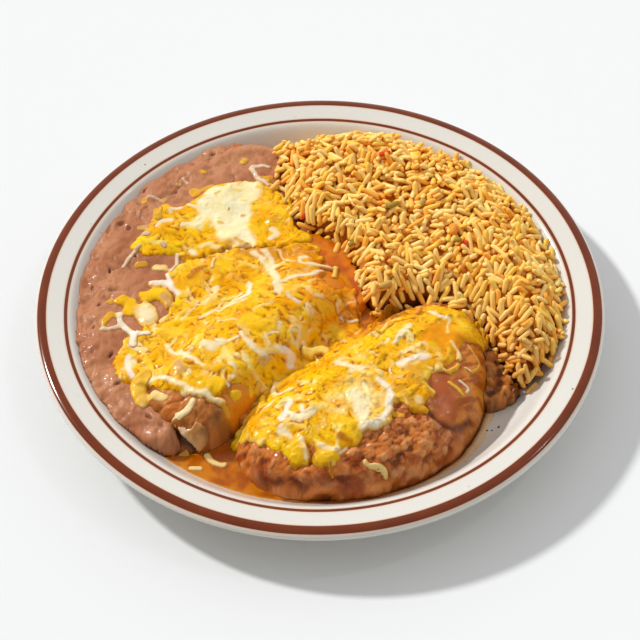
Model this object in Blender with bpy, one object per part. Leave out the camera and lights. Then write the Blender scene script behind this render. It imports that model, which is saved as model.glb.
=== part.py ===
"""
A plate of two enchiladas under melted cheese, with refried beans and rice.

Metres, +Z up. The origin is on the table, under the middle of the plate, and +Y points away
from the diner. The round plate stands on its foot ring, the two rolls lie on its floor, the
beans and the rice are banked against them and the plate's wall, and the cheese and the sauce
lie on top. Every food starts as a blanket, a closed slab with a modelled top, and the pieces
that it lies on are then cut out of it with a small clear gap.
"""

import math

import bmesh
import bpy
import numpy as np
from mathutils import Vector
from mathutils.bvhtree import BVHTree
from mathutils.geometry import delaunay_2d_cdt

MM = 0.001

# Clear space between touching pieces
GAP = 0.35 * MM

# Clean-up after a cut: points this close are one, and faces this nearly level are one
MERGE_DISTANCE = 0.001 * MM
LEVEL_ANGLE = math.radians(1.5)

# Faces that turn by more than this keep a sharp edge
SHARP_ANGLE = math.radians(40.0)

# Height from which the heights below are measured, clear of everything
ABOVE_ALL = 100.0 * MM

# Points on each span of a drawn outline, and round a roll
SPAN_STEPS = 12
ROLL_STEPS = 240

# Power of the rounded shoulders, a little fuller than a circle's
SHOULDER_POWER = 2.2

# Plate
PLATE_SEGMENTS = 48
FLOOR_HEIGHT = 8.0 * MM
FLOOR_RADIUS = 88.0 * MM
WALL_RADIUS = 119.0 * MM
WALL_RISE = 16.0 * MM
WALL_STEPS = 7
WALL_LATE_RISE = 2.2
RIM_SLOPE = 0.15
RIM_RADIUS = 129.5 * MM
RIM_NOSE = 4.6 * MM
NOSE_HEIGHT = 22.6 * MM
NOSE_ABOVE = 3.0 * MM
NOSE_BELOW = 2.4 * MM
PLATE_THICKNESS = 5.0 * MM
UNDERSIDE_RADII = (123, 115, 109, 102)
FOOT_RADIUS = 81.0 * MM
FOOT_WIDTH = 5.0 * MM
FOOT_FLARE = 1.2 * MM
FOOT_SHOULDER = 2.6 * MM
BASE_RECESS = 2.0 * MM

# Rolls: middle of the spine, turn from +X, bend, half sizes, squareness of the outline, heights
LEFT_ROLL = {
    "middle": (-31.0 * MM, -24.0 * MM), "turn": math.radians(50.0), "bend": 0.0,
    "half_length": 64.0 * MM, "half_width": 24.5 * MM, "squareness": 4.0,
    "side_height": 13.0 * MM, "crest_height": 37.0 * MM,
}
RIGHT_ROLL = {
    "middle": (28.6 * MM, -61.9 * MM), "turn": math.radians(40.1), "bend": 3.96,
    "half_length": 68.0 * MM, "half_width": 38.2 * MM, "squareness": 2.13,
    "side_height": 15.0 * MM, "crest_height": 37.0 * MM,
}
ROLL_ROUNDNESS = 2.6
ROLL_EDGE = 8.0 * MM
ROLL_SPACING = 6.8 * MM
FILLING_LUMPS = 0.8 * MM
FILLING_LUMP_SIZE = 26.0 * MM
GRAVY_LUMPS = 0.9 * MM
GRAVY_LUMP_SIZE = 17.0 * MM

# Crease across the right roll, where the smooth fold begins: place along it, width, depth, near side
CREASE_ALONG = 12.0 * MM
CREASE_WIDTH = 4.0 * MM
CREASE_DEPTH = 2.2 * MM
CREASE_ACROSS = -10.0 * MM
FOLD_BLEND = 8.0 * MM
FOLD_SMOOTHING = 0.7

# Level of every food's underside before the plate is cut out of it
FOOD_BOTTOM = 5.0 * MM

# Beans
BEANS_HEIGHT = 24.0 * MM
BEANS_EDGE = 11.0 * MM
BEANS_RIM = 1.0 * MM
BEANS_LUMPS = 1.0 * MM
BEANS_LUMP_SIZE = 24.0 * MM
BEANS_SPACING = 7.6 * MM
BEANS_OUTLINE = (
    (-16, 104), (-45, 106), (-75, 87), (-98, 60), (-112, 26), (-114.5, -8), (-109, -38), (-96, -62),
    (-81, -76), (-67, -81), (-61, -72), (-66, -50), (-52, -24), (-34, 4), (-14, 24), (-2, 40),
    (-2, 60), (-6, 80), (-9, 95),
)

# Rice
RICE_HEIGHT = 36.0 * MM
RICE_OUTER_EDGE = 24.0 * MM
RICE_INNER_EDGE = 12.0 * MM
RICE_INNER_RADIUS = 55.0 * MM
RICE_OUTER_RADIUS = 95.0 * MM
RICE_RIM = 1.6 * MM
RICE_LUMPS = 1.6 * MM
RICE_LUMP_SIZE = 42.0 * MM
RICE_SPACING = 3.15 * MM
RICE_RIDGES = 2.0 * MM
RIDGE_SHARE_BELOW = 0.35
RIDGE_EDGE = 8.0 * MM
GRAIN_LENGTH = 7.0 * MM
GRAIN_WIDTH = 2.3 * MM
LOOSE_GRAINS = 26
LOOSE_GRAIN_RADIUS = 104.0 * MM
LOOSE_GRAIN_HEIGHT = 24.0 * MM
RICE_OUTLINE = (
    (-20, 99), (-9, 106), (10, 111), (30, 110), (50, 102), (70, 90), (88, 73), (102, 52), (111, 28),
    (115, 3), (113, -15), (108, -32), (99, -45), (88, -53), (81, -50), (78, -34), (76, -18),
    (70, -10), (58, -4), (46, -3), (35, -6), (26, -9), (20, -3), (17, 8), (15, 20), (8, 31),
    (-4, 42), (-13, 53), (-15, 66), (-18, 84),
)

# Cheese and sauce
CHEESE_THICKNESS = 2.2 * MM
CHEESE_RIM = 1.2 * MM
CHEESE_LUMPS = 0.6 * MM
CHEESE_LUMP_SIZE = 15.0 * MM
CHEESE_EDGE = 5.0 * MM
CHEESE_SPACING = 6.2 * MM
CHEESE_BOTTOM = 9.5 * MM
CHEESE_LEFT_OUTLINE = (
    (-94, -44), (-91, -34), (-92, -26), (-86, -16), (-72, -9), (-66, 3), (-71, 13), (-67, 23),
    (-50, 29), (-38, 33), (-25, 36), (-8, 35), (3, 29), (8, 18), (12, 6), (17, -4), (19, -13),
    (12, -22), (-1, -33), (-13, -42), (-24, -50), (-34, -58), (-46, -63), (-58, -61), (-70, -58),
    (-82, -50),
)
CHEESE_POOL_OUTLINE = (
    (-90, 36), (-88, 43), (-80, 49), (-78, 59), (-66, 63), (-57, 74), (-46, 80), (-34, 80),
    (-25, 73), (-20, 64), (-17, 53), (-11, 45), (-3, 39), (-4, 35), (-14, 36), (-28, 37), (-44, 34),
    (-60, 30), (-76, 33),
)
CHEESE_RIGHT_OUTLINE = (
    (-40, -77), (-34, -65), (-22, -52), (-8, -41), (6, -31), (16, -21), (27, -13), (38, -10),
    (52, -10), (63, -14), (71, -19), (74, -28), (66, -33), (60, -48), (52, -56), (45, -72),
    (36, -70), (33, -78), (20, -86), (10, -92), (2, -98), (-8, -95), (-20, -87), (-30, -86),
)
SAUCE_SPACING = 7.0 * MM
SAUCE_FRONT_HEIGHT = 13.2 * MM
SAUCE_FRONT_OUTLINE = (
    (-76, -78), (-62, -90), (-47, -98.5), (-33, -104), (-20, -107), (-12, -97), (-26, -80),
    (-40, -66), (-56, -66), (-68, -68),
)
SAUCE_MIDDLE_HEIGHT = 19.0 * MM
SAUCE_MIDDLE_OUTLINE = (
    (24, 4), (30, -8), (24, -20), (8, -36), (-12, -50), (-26, -62), (-36, -68), (-40, -62), (-30, -52),
    (-20, -36), (-6, -22), (8, -8),
)
SAUCE_SIDE_HEIGHT = 15.5 * MM
SAUCE_SIDE_OUTLINE = (
    (70, -60), (77, -66), (86, -62), (92, -53), (90, -44), (84, -34), (76, -28), (70, -34), (68, -48),
)

# Loose cheese on the beans, as (x, y, length, width, turn in degrees), millimetres
CHEESE_BITS = (
    (-38, 93, 6, 4, 60), (-57, 87, 7, 4, 20), (-64, 71, 7, 6, 0), (-86, 67, 7, 4, 10),
    (-28, 89, 11, 6, 110), (-100, 3, 8, 5, 100), (-99, -11, 10, 4, 60), (-83, -4, 12, 11, 0),
    (-86, 26, 9, 5, 10), (-80, 7, 12, 6, 20),
)

# Long shreds on the cheese: plan points in millimetres, then the width
LEFT_SHREDS = (
    (((-79, -50), (-68, -57), (-57, -62)), 3.6),
    (((-64, -13), (-54, -9), (-46, -1)), 3.2),
    (((-40, 14), (-28, 12), (-18, 16), (-8, 22)), 3.0),
    (((-50, -22), (-42, -28), (-38, -38)), 3.0),
    (((-88, -38), (-85, -28)), 3.4),
    (((-20, -28), (-13, -30), (-7, -26)), 3.4),
)
POOL_SHREDS = (
    (((-84, 40), (-76, 44), (-70, 52)), 3.0),
)
RIGHT_SHREDS = (
    (((31, -76), (34, -68), (31, -60)), 4.0),
    (((-24, -72), (-14, -76)), 3.2),
    (((58, -42), (55, -34), (52, -24)), 3.0),
    (((30, -18), (40, -26)), 3.0),
)

# How far bits and shreds stand over the surface, as a share of their own half thickness
BIT_LIFT = 0.1
SHRED_LIFT = 0.3
SHRED_SIDES = 5
SHRED_END_TAPER = 0.6
CHEESE_BIT_THICKNESS = 1.3 * MM

# Turned-back edge of the tortilla at the left roll's open end, in the same form as the bits
TORTILLA_FLAP = ((-57, -71, 19, 13, -35),)
TORTILLA_FLAP_THICKNESS = 3.0 * MM

# Shred of cheese on the right roll's bare side
BARE_SHREDS = (
    (((20, -94), (24, -99), (31, -101)), 2.8),
)

# Pieces of pepper and onion on the rice, as (x, y, length, width, turn in degrees), millimetres
PEPPER_BITS = (
    (71, 24, 6, 4, 40), (33, 82, 6, 3, 10), (36, 53, 7, 3, 15), (62, 34, 9, 4, 75),
)
PEPPER_THICKNESS = 1.6 * MM

TORTILLA_BROWN = (0.45, 0.20, 0.10, 1.0)
GRAVY_BROWN = (0.33, 0.11, 0.05, 1.0)
BEAN_BROWN = (0.42, 0.20, 0.12, 1.0)
RICE_ORANGE = (0.83, 0.47, 0.14, 1.0)
CHEESE_YELLOW = (0.93, 0.57, 0.03, 1.0)
CHEESE_WHITE = (0.95, 0.82, 0.42, 1.0)
SAUCE_ORANGE = (0.48, 0.13, 0.01, 1.0)
SAUCE_BROWN = (0.30, 0.10, 0.03, 1.0)
GLAZE_WHITE = (0.78, 0.75, 0.68, 1.0)


def clear_scene():
    """Remove whatever the open file holds."""
    for item in list(bpy.data.objects):
        bpy.data.objects.remove(item, do_unlink=True)


def make_material(name, colour, roughness):
    """A plain food or glaze material."""
    material = bpy.data.materials.new(name)
    material.use_nodes = True
    shader = material.node_tree.nodes["Principled BSDF"]
    shader.inputs["Base Color"].default_value = colour
    shader.inputs["Roughness"].default_value = roughness
    shader.inputs["Metallic"].default_value = 0.0
    return material


def add_object(name, vertices, faces, material=None):
    """Put vertices and faces into the scene as one mesh object with its faces pointing out."""
    mesh = bpy.data.meshes.new(name)
    mesh.from_pydata([tuple(point) for point in vertices], [], faces)
    work = bmesh.new()
    work.from_mesh(mesh)
    bmesh.ops.recalc_face_normals(work, faces=work.faces)
    work.to_mesh(mesh)
    work.free()
    item = bpy.data.objects.new(name, mesh)
    bpy.context.collection.objects.link(item)
    if material:
        mesh.materials.append(material)
    return item


def plate_top(radius):
    """Height of the plate's upper face: a flat floor, an S-shaped wall and a gently rising rim."""
    across = np.clip((radius - FLOOR_RADIUS) / (WALL_RADIUS - FLOOR_RADIUS), 0.0, 1.0)
    across = across ** WALL_LATE_RISE
    wall = FLOOR_HEIGHT + WALL_RISE * (3.0 * across ** 2 - 2.0 * across ** 3)
    return wall + RIM_SLOPE * np.maximum(radius - WALL_RADIUS, 0.0)


def plate_profile():
    """Half section of the plate, from the middle of its floor over the rim to the middle below."""
    points = [(0.0, FLOOR_HEIGHT), (FLOOR_RADIUS, FLOOR_HEIGHT)]
    for radius in np.linspace(FLOOR_RADIUS, WALL_RADIUS, WALL_STEPS)[2:]:
        points.append((radius, float(plate_top(radius))))
    for turn in np.radians([75, 35, -5, -50]):
        depth = NOSE_ABOVE if turn > 0 else NOSE_BELOW
        points.append((RIM_RADIUS + RIM_NOSE * math.cos(turn), NOSE_HEIGHT + depth * math.sin(turn)))
    for radius in np.array(UNDERSIDE_RADII) * MM:
        points.append((radius, float(plate_top(radius - PLATE_THICKNESS / 2)) - PLATE_THICKNESS))
    outer = FOOT_RADIUS + FOOT_WIDTH / 2
    inner = FOOT_RADIUS - FOOT_WIDTH / 2
    points += [(outer + FOOT_FLARE, FOOT_SHOULDER), (outer, 0.0), (inner, 0.0)]
    points += [(inner - FOOT_FLARE, BASE_RECESS), (0.0, BASE_RECESS)]
    return points


def make_plate(material):
    """Turn the plate's profile round the Z axis."""
    profile = plate_profile()
    mesh = bpy.data.meshes.new("plate")
    edges = [(index, index + 1) for index in range(len(profile) - 1)]
    mesh.from_pydata([(radius, 0.0, height) for radius, height in profile], edges, [])
    plate = bpy.data.objects.new("plate", mesh)
    bpy.context.collection.objects.link(plate)
    screw = plate.modifiers.new("turn", "SCREW")
    screw.steps = PLATE_SEGMENTS
    screw.render_steps = PLATE_SEGMENTS
    screw.use_merge_vertices = True
    screw.merge_threshold = 0.01 * MM
    bake(plate)
    plate.data.materials.clear()
    plate.data.materials.append(material)
    return plate


def bake(item):
    """Replace an object's mesh by what its modifiers make of it."""
    bpy.context.view_layer.update()
    graph = bpy.context.evaluated_depsgraph_get()
    item.data = bpy.data.meshes.new_from_object(item.evaluated_get(graph))
    item.modifiers.clear()


def outline_curve(points, spacing):
    """Closed smooth curve through the given plan points (millimetres), with even steps in metres."""
    points = np.array(points, float) * MM
    before = np.roll(points, 1, axis=0)
    after = np.roll(points, -1, axis=0)
    later = np.roll(points, -2, axis=0)
    steps = np.linspace(0.0, 1.0, SPAN_STEPS, endpoint=False)[:, None, None]
    curve = 0.5 * (
        2.0 * points + (after - before) * steps
        + (2.0 * before - 5.0 * points + 4.0 * after - later) * steps ** 2
        + (3.0 * points - before - 3.0 * after + later) * steps ** 3
    )
    return even_steps(curve.transpose(1, 0, 2).reshape(-1, 2), spacing)


def even_steps(curve, spacing):
    """The same closed curve with its points about one spacing apart."""
    closed = np.vstack([curve, curve[:1]])
    length = np.concatenate([[0.0], np.cumsum(np.linalg.norm(np.diff(closed, axis=0), axis=1))])
    places = np.linspace(0.0, length[-1], max(8, round(length[-1] / spacing)), endpoint=False)
    return np.column_stack([np.interp(places, length, closed[:, axis]) for axis in (0, 1)])


def roll_frame(x, y, roll):
    """Place of plan points along and across a roll's bent spine."""
    cosine, sine = math.cos(roll["turn"]), math.sin(roll["turn"])
    offset_x, offset_y = x - roll["middle"][0], y - roll["middle"][1]
    along = cosine * offset_x + sine * offset_y
    return along, cosine * offset_y - sine * offset_x - roll["bend"] * along ** 2


def roll_outline(roll, spacing):
    """Plan outline of a roll: a superellipse round its bent spine."""
    turn = np.linspace(0.0, 2.0 * math.pi, ROLL_STEPS, endpoint=False)
    power = 2.0 / roll["squareness"]
    along = roll["half_length"] * np.sign(np.cos(turn)) * np.abs(np.cos(turn)) ** power
    across = roll["half_width"] * np.sign(np.sin(turn)) * np.abs(np.sin(turn)) ** power
    across = across + roll["bend"] * along ** 2
    cosine, sine = math.cos(roll["turn"]), math.sin(roll["turn"])
    x = roll["middle"][0] + cosine * along - sine * across
    y = roll["middle"][1] + sine * along + cosine * across
    return even_steps(np.column_stack([x, y]), spacing)


def roll_top(x, y, roll):
    """Height of a roll's upper face, rounded from its side to its crest."""
    along, across = roll_frame(x, y, roll)
    power = roll["squareness"]
    reach = np.abs(along / roll["half_length"]) ** power + np.abs(across / roll["half_width"]) ** power
    reach = np.minimum(reach ** (1.0 / power), 1.0)
    dome = (1.0 - reach ** ROLL_ROUNDNESS) ** (1.0 / SHOULDER_POWER)
    return roll["side_height"] + (roll["crest_height"] - roll["side_height"]) * dome


def inside(x, y, outline):
    """Which plan points lie inside a closed outline."""
    start, end = outline, np.roll(outline, -1, axis=0)
    above = (start[:, 1] > y[:, None]) != (end[:, 1] > y[:, None])
    rise = end[:, 1] - start[:, 1]
    rise = np.where(np.abs(rise) < 1e-12, 1e-12, rise)
    crossing = start[:, 0] + (y[:, None] - start[:, 1]) * (end[:, 0] - start[:, 0]) / rise
    return (np.sum(above & (x[:, None] < crossing), axis=1) % 2) == 1


def edge_distance(x, y, outline):
    """Distance of plan points from a closed outline."""
    start = outline
    side = np.roll(outline, -1, axis=0) - outline
    offset_x = x[:, None] - start[:, 0]
    offset_y = y[:, None] - start[:, 1]
    share = (offset_x * side[:, 0] + offset_y * side[:, 1]) / np.sum(side ** 2, axis=1)
    share = np.clip(share, 0.0, 1.0)
    gap_x = offset_x - share * side[:, 0]
    gap_y = offset_y - share * side[:, 1]
    return np.sqrt(np.min(gap_x ** 2 + gap_y ** 2, axis=1))


def lumps(x, y, size, seed):
    """Smooth bumps about one size apart, roughly between -1 and 1, from seeded waves."""
    draw = np.random.default_rng(seed)
    total = np.zeros_like(x)
    for turn, phase in zip(draw.uniform(0.0, math.pi, 6), draw.uniform(0.0, 2.0 * math.pi, 6)):
        total += np.sin((x * math.cos(turn) + y * math.sin(turn)) * 2.0 * math.pi / size + phase)
    return total / 3.0


def rounded_edge(distance, width):
    """Rises from 0 on an outline to 1 at one width inside it, as a rounded shoulder."""
    share = np.clip(distance / width, 0.0, 1.0)
    return (1.0 - (1.0 - share) ** SHOULDER_POWER) ** (1.0 / SHOULDER_POWER)


def lattice(outline, spacing):
    """Plan points on a triangular lattice inside an outline, clear of its edge, with their rows."""
    low, high = outline.min(axis=0), outline.max(axis=0)
    row_step = spacing * math.sqrt(0.75)
    rows, columns = np.meshgrid(
        np.arange(int((high[1] - low[1]) / row_step) + 1),
        np.arange(-int((high[1] - low[1]) / spacing), int((high[0] - low[0]) / spacing) + 1),
        indexing="ij",
    )
    rows, columns = rows.ravel(), columns.ravel()
    x = low[0] + spacing * (columns + rows / 2.0)
    y = low[1] + row_step * rows
    keep = inside(x, y, outline) & (edge_distance(x, y, outline) > 0.6 * spacing)
    return x[keep], y[keep], rows[keep], columns[keep]


def triangulate(outline, inner):
    """Triangles between an outline's points and the points inside it."""
    points = [Vector(point) for point in np.vstack([outline, inner])]
    count = len(outline)
    edges = [(index, (index + 1) % count) for index in range(count)]
    return delaunay_2d_cdt(points, edges, [], 1, 1e-7)[2]


def blanket(name, outline, spacing, top, bottom, material):
    """Closed slab over a plan outline, from a level bottom up to the height that top gives."""
    inner = np.column_stack(lattice(outline, spacing)[:2])
    plan = np.vstack([outline, inner])
    height = top(plan[:, 0], plan[:, 1])
    edge = len(outline)
    vertices = [(*point, z) for point, z in zip(plan, height)]
    vertices += [(*point, bottom) for point in outline]
    faces = [tuple(face) for face in triangulate(outline, inner)]
    under = len(plan)
    for index in range(edge):
        after = (index + 1) % edge
        faces += [(index, under + index, under + after), (index, under + after, after)]
    for face in triangulate(outline, np.empty((0, 2))):
        faces.append(tuple(under + corner for corner in face))
    return add_object(name, vertices, faces, material)


def keep_main_body(item):
    """Drop loose scraps and sealed hollows, so that an object is its one outer body."""
    work = bmesh.new()
    work.from_mesh(item.data)
    bmesh.ops.remove_doubles(work, verts=work.verts, dist=MERGE_DISTANCE)
    bmesh.ops.dissolve_limit(work, angle_limit=LEVEL_ANGLE, verts=work.verts, edges=work.edges)
    bmesh.ops.triangulate(work, faces=work.faces)
    waiting = set(work.faces)
    bodies = []
    while waiting:
        body, front = set(), [waiting.pop()]
        while front:
            face = front.pop()
            body.add(face)
            near = {other for edge in face.edges for other in edge.link_faces} & waiting
            waiting -= near
            front += near
        volume = sum(
            face.verts[0].co.dot(face.verts[1].co.cross(face.verts[2].co)) / 6.0 for face in body
        )
        bodies.append((volume, body))
    bodies.sort(key=lambda entry: entry[0])
    for volume, body in bodies[:-1]:
        bmesh.ops.delete(work, geom=list(body), context="FACES")
    bmesh.ops.delete(work, geom=[vert for vert in work.verts if not vert.link_faces], context="VERTS")
    work.to_mesh(item.data)
    work.free()


def grown(item, amount):
    """Copy of an object with every vertex moved outward, to cut room for it."""
    cutter = bpy.data.objects.new(item.name + "_cutter", item.data.copy())
    bpy.context.collection.objects.link(cutter)
    normals = np.empty(len(cutter.data.vertices) * 3)
    cutter.data.vertices.foreach_get("normal", normals)
    places = np.empty_like(normals)
    cutter.data.vertices.foreach_get("co", places)
    cutter.data.vertices.foreach_set("co", places + normals * amount)
    cutter.data.update()
    return cutter


def carve(item, neighbours):
    """Cut the neighbours and a clear gap round them out of an object."""
    for neighbour in neighbours:
        cutter = grown(neighbour, GAP)
        cut = item.modifiers.new("room", "BOOLEAN")
        cut.operation = "DIFFERENCE"
        cut.object = cutter
        bake(item)
        bpy.data.objects.remove(cutter, do_unlink=True)
        keep_main_body(item)


def fuse(item, pieces):
    """Join small pieces to an object as one closed body."""
    collection = bpy.data.collections.new(item.name + "_pieces")
    bpy.context.scene.collection.children.link(collection)
    for piece in pieces:
        bpy.context.collection.objects.unlink(piece)
        collection.objects.link(piece)
    join = item.modifiers.new("join", "BOOLEAN")
    join.operation = "UNION"
    join.operand_type = "COLLECTION"
    join.collection = collection
    bake(item)
    for piece in pieces:
        bpy.data.objects.remove(piece, do_unlink=True)
    bpy.data.collections.remove(collection)
    keep_main_body(item)


def surface_heights(items):
    """Function that gives the height of the highest of some objects under plan points."""
    trees = []
    for item in items:
        corners = [vertex.co.copy() for vertex in item.data.vertices]
        faces = [tuple(face.vertices) for face in item.data.polygons]
        trees.append(BVHTree.FromPolygons(corners, faces))

    def heights(x, y):
        found = np.zeros(len(x))
        for index, (place_x, place_y) in enumerate(zip(x, y)):
            for turn in np.arange(3) * 2.0 * math.pi / 3.0:
                near_x = place_x + GAP * math.cos(turn)
                near_y = place_y + GAP * math.sin(turn)
                start = Vector((near_x, near_y, ABOVE_ALL))
                for tree in trees:
                    hit = tree.ray_cast(start, Vector((0.0, 0.0, -1.0)))[0]
                    if hit:
                        found[index] = max(found[index], hit.z)
        return found

    return heights


def draped(x, y, below, reach):
    """Height that clears what lies below, measured to the side as well as straight down."""
    samples = [below(x, y)]
    for turn in np.arange(6) * math.pi / 3.0:
        samples.append(below(x + reach * math.cos(turn), y + reach * math.sin(turn)))
    return np.max(samples, axis=0)


def nugget(name, middle, size, turn):
    """Small rounded lump of a given length, width and thickness, turned about Z."""
    bpy.ops.mesh.primitive_uv_sphere_add(segments=7, ring_count=4, radius=1.0)
    item = bpy.context.object
    item.name = name
    matrix = np.array([
        [math.cos(turn) * size[0], -math.sin(turn) * size[1], 0.0],
        [math.sin(turn) * size[0], math.cos(turn) * size[1], 0.0],
        [0.0, 0.0, size[2]],
    ])
    for vertex in item.data.vertices:
        vertex.co = Vector(matrix @ np.array(vertex.co) + np.array(middle))
    return item


def bits_on(host, bits, thickness):
    """Rounded bits half sunk in an object's upper face."""
    below = surface_heights([host])
    pieces = []
    for index, (x, y, length, width, degrees) in enumerate(bits):
        height = float(below(np.array([x * MM]), np.array([y * MM]))[0])
        size = (length / 2 * MM, width / 2 * MM, thickness)
        middle = (x * MM, y * MM, height + BIT_LIFT * thickness)
        pieces.append(nugget(f"bit_{index}", middle, size, math.radians(degrees)))
    return pieces


def strand(name, path, radius):
    """Closed tube with blunt ends along a path of places."""
    path = np.array(path)
    ahead = np.gradient(path, axis=0)
    ahead /= np.linalg.norm(ahead, axis=1)[:, None]
    side = np.cross(ahead, (0.0, 0.0, 1.0))
    side /= np.linalg.norm(side, axis=1)[:, None]
    over = np.cross(side, ahead)
    sides = SHRED_SIDES
    vertices = []
    for index, place in enumerate(path):
        taper = SHRED_END_TAPER if index in (0, len(path) - 1) else 1.0
        for corner in range(sides):
            turn = 2.0 * math.pi * corner / sides
            arm = math.cos(turn) * side[index] + math.sin(turn) * over[index]
            vertices.append(place + taper * radius * arm)
    faces = [tuple(range(sides)), tuple(len(vertices) - sides + corner for corner in range(sides))]
    for ring in range(len(path) - 1):
        for corner in range(sides):
            after = (corner + 1) % sides
            faces.append((
                ring * sides + corner, ring * sides + after,
                (ring + 1) * sides + after, (ring + 1) * sides + corner,
            ))
    return add_object(name, vertices, faces)


def shreds_on(host, shreds):
    """Shreds of cheese along plan paths, half sunk in an object's upper face."""
    below = surface_heights([host])
    pieces = []
    for index, (points, width) in enumerate(shreds):
        points = np.array(points, float) * MM
        radius = width / 2 * MM
        height = below(points[:, 0], points[:, 1]) + SHRED_LIFT * radius
        pieces.append(strand(f"shred_{index}", np.column_stack([points, height]), radius))
    return pieces


def make_roll(name, roll, relief, material):
    """One enchilada: a blanket over a bent rounded outline, with the gravy's lumps on it."""
    outline = roll_outline(roll, ROLL_SPACING)

    def top(x, y):
        inward = rounded_edge(edge_distance(x, y, outline), ROLL_EDGE)
        return roll_top(x, y, roll) + inward * relief(x, y)

    return blanket(name, outline, ROLL_SPACING, top, FOOD_BOTTOM, material)


def left_relief(x, y):
    """Slow lumps of the filling under the left roll's tortilla."""
    return FILLING_LUMPS * lumps(x, y, FILLING_LUMP_SIZE, 3)


def right_relief(x, y):
    """Lumps of the gravy and the smooth fold of tortilla near the right roll's end."""
    lumpy = GRAVY_LUMPS * lumps(x, y, GRAVY_LUMP_SIZE, 8)
    along, across = roll_frame(x, y, RIGHT_ROLL)
    beyond = along - CREASE_ALONG
    smooth = np.clip(beyond / FOLD_BLEND, 0.0, 1.0)
    crease = np.exp(-(beyond / CREASE_WIDTH) ** 2) * (across < CREASE_ACROSS)
    return lumpy * (1.0 - FOLD_SMOOTHING * smooth) - CREASE_DEPTH * crease


def make_beans(material):
    """Refried beans: a thick spread bank with a rounded edge against the plate's wall."""
    outline = outline_curve(BEANS_OUTLINE, BEANS_SPACING)

    def top(x, y):
        low = plate_top(np.hypot(x, y)) + BEANS_RIM
        high = BEANS_HEIGHT + BEANS_LUMPS * lumps(x, y, BEANS_LUMP_SIZE, 5)
        return low + np.maximum(high - low, 0.0) * rounded_edge(edge_distance(x, y, outline), BEANS_EDGE)

    return blanket("refried_beans", outline, BEANS_SPACING, top, FOOD_BOTTOM, material)


def grain_ridges(rows, columns, seed):
    """Raised runs of three lattice points at seeded places: ridges of the size of a grain."""
    draw = np.random.default_rng(seed)
    place = {key: index for index, key in enumerate(zip(rows.tolist(), columns.tolist()))}
    raised = np.zeros(len(rows))
    taken = set()
    for index in draw.permutation(len(rows)):
        row, column = int(rows[index]), int(columns[index])
        step_row, step_column = ((0, 1), (1, 0), (1, -1))[draw.integers(3)]
        run = [(row + way * step_row, column + way * step_column) for way in (-1, 0, 1)]
        if any(key not in place or key in taken for key in run):
            continue
        taken.update(run)
        lift = draw.uniform(0.5, 1.2)
        for key in run:
            raised[place[key]] = lift
    return raised


def make_rice(below, material):
    """Rice: a mound whose upper face is covered by ridges of the size of a grain."""
    outline = outline_curve(RICE_OUTLINE, 1.3 * RICE_SPACING)
    x, y, rows, columns = lattice(outline, RICE_SPACING)
    ridges = grain_ridges(rows, columns, 21)
    edge = len(outline)

    def top(plan_x, plan_y):
        low = below(plan_x, plan_y) + RICE_RIM
        high = RICE_HEIGHT + RICE_LUMPS * lumps(plan_x, plan_y, RICE_LUMP_SIZE, 12)
        distance = edge_distance(plan_x, plan_y, outline)
        outward = (np.hypot(plan_x, plan_y) - RICE_INNER_RADIUS) / (RICE_OUTER_RADIUS - RICE_INNER_RADIUS)
        outward = np.clip(outward, 0.0, 1.0)
        width = RICE_INNER_EDGE + (RICE_OUTER_EDGE - RICE_INNER_EDGE) * outward
        shoulder = rounded_edge(distance, width) ** 1.5
        height = low + np.maximum(high - low, 0.0) * shoulder
        relief = RICE_RIDGES * (ridges - RIDGE_SHARE_BELOW)
        height[edge:] += relief * rounded_edge(distance[edge:], RIDGE_EDGE)
        return np.maximum(height, low)

    return blanket("rice", outline, RICE_SPACING, top, FOOD_BOTTOM, material)


def loose_grains(host, count, seed):
    """Single grains lying on the mound, at true size, spread evenly by the golden ratio."""
    golden = (math.sqrt(5.0) - 1.0) / 2.0
    draw = np.random.default_rng(seed)
    below = surface_heights([host])
    pieces = []
    index = 0
    while len(pieces) < count:
        index += 1
        radius = LOOSE_GRAIN_RADIUS * math.sqrt((index * golden) % 1.0)
        turn = index * 2.0 * math.pi * (1.0 - golden)
        x, y = radius * math.cos(turn), radius * math.sin(turn)
        length = GRAIN_LENGTH * draw.uniform(0.9, 1.1)
        heading = draw.uniform(0.0, math.pi)
        reach = 0.5 * length
        ends_x = np.array([x - reach * math.cos(heading), x, x + reach * math.cos(heading)])
        ends_y = np.array([y - reach * math.sin(heading), y, y + reach * math.sin(heading)])
        height = below(ends_x, ends_y)
        if height.min() < LOOSE_GRAIN_HEIGHT:
            continue
        height = np.array([height[0], max(height[1], height[[0, 2]].mean()), height[2]])
        path = np.column_stack([ends_x, ends_y, height + SHRED_LIFT * GRAIN_WIDTH])
        pieces.append(strand(f"grain_{index}", path, GRAIN_WIDTH / 2))
    return pieces


def make_cheese(name, outline_points, below, seed, material):
    """Melted cheese: a soft layer of uneven thickness over what lies below it."""
    outline = outline_curve(outline_points, CHEESE_SPACING)

    def top(x, y):
        inward = rounded_edge(edge_distance(x, y, outline), CHEESE_EDGE)
        uneven = CHEESE_LUMPS * lumps(x, y, CHEESE_LUMP_SIZE, seed)
        swell = CHEESE_THICKNESS - CHEESE_RIM + uneven
        return draped(x, y, below, CHEESE_RIM) + CHEESE_RIM + swell * inward

    return blanket(name, outline, CHEESE_SPACING, top, CHEESE_BOTTOM, material)


def make_level_sauce(name, outline_points, level, material):
    """A pool of sauce with a level surface."""
    outline = outline_curve(outline_points, SAUCE_SPACING)

    def top(x, y):
        return np.full(len(x), level)

    return blanket(name, outline, SAUCE_SPACING, top, FOOD_BOTTOM, material)


def finish(items):
    """Shade the pieces smooth, with sharp edges only where a face really turns."""
    for item in items:
        item.data.shade_smooth()
        item.data.set_sharp_from_angle(angle=SHARP_ANGLE)


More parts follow.
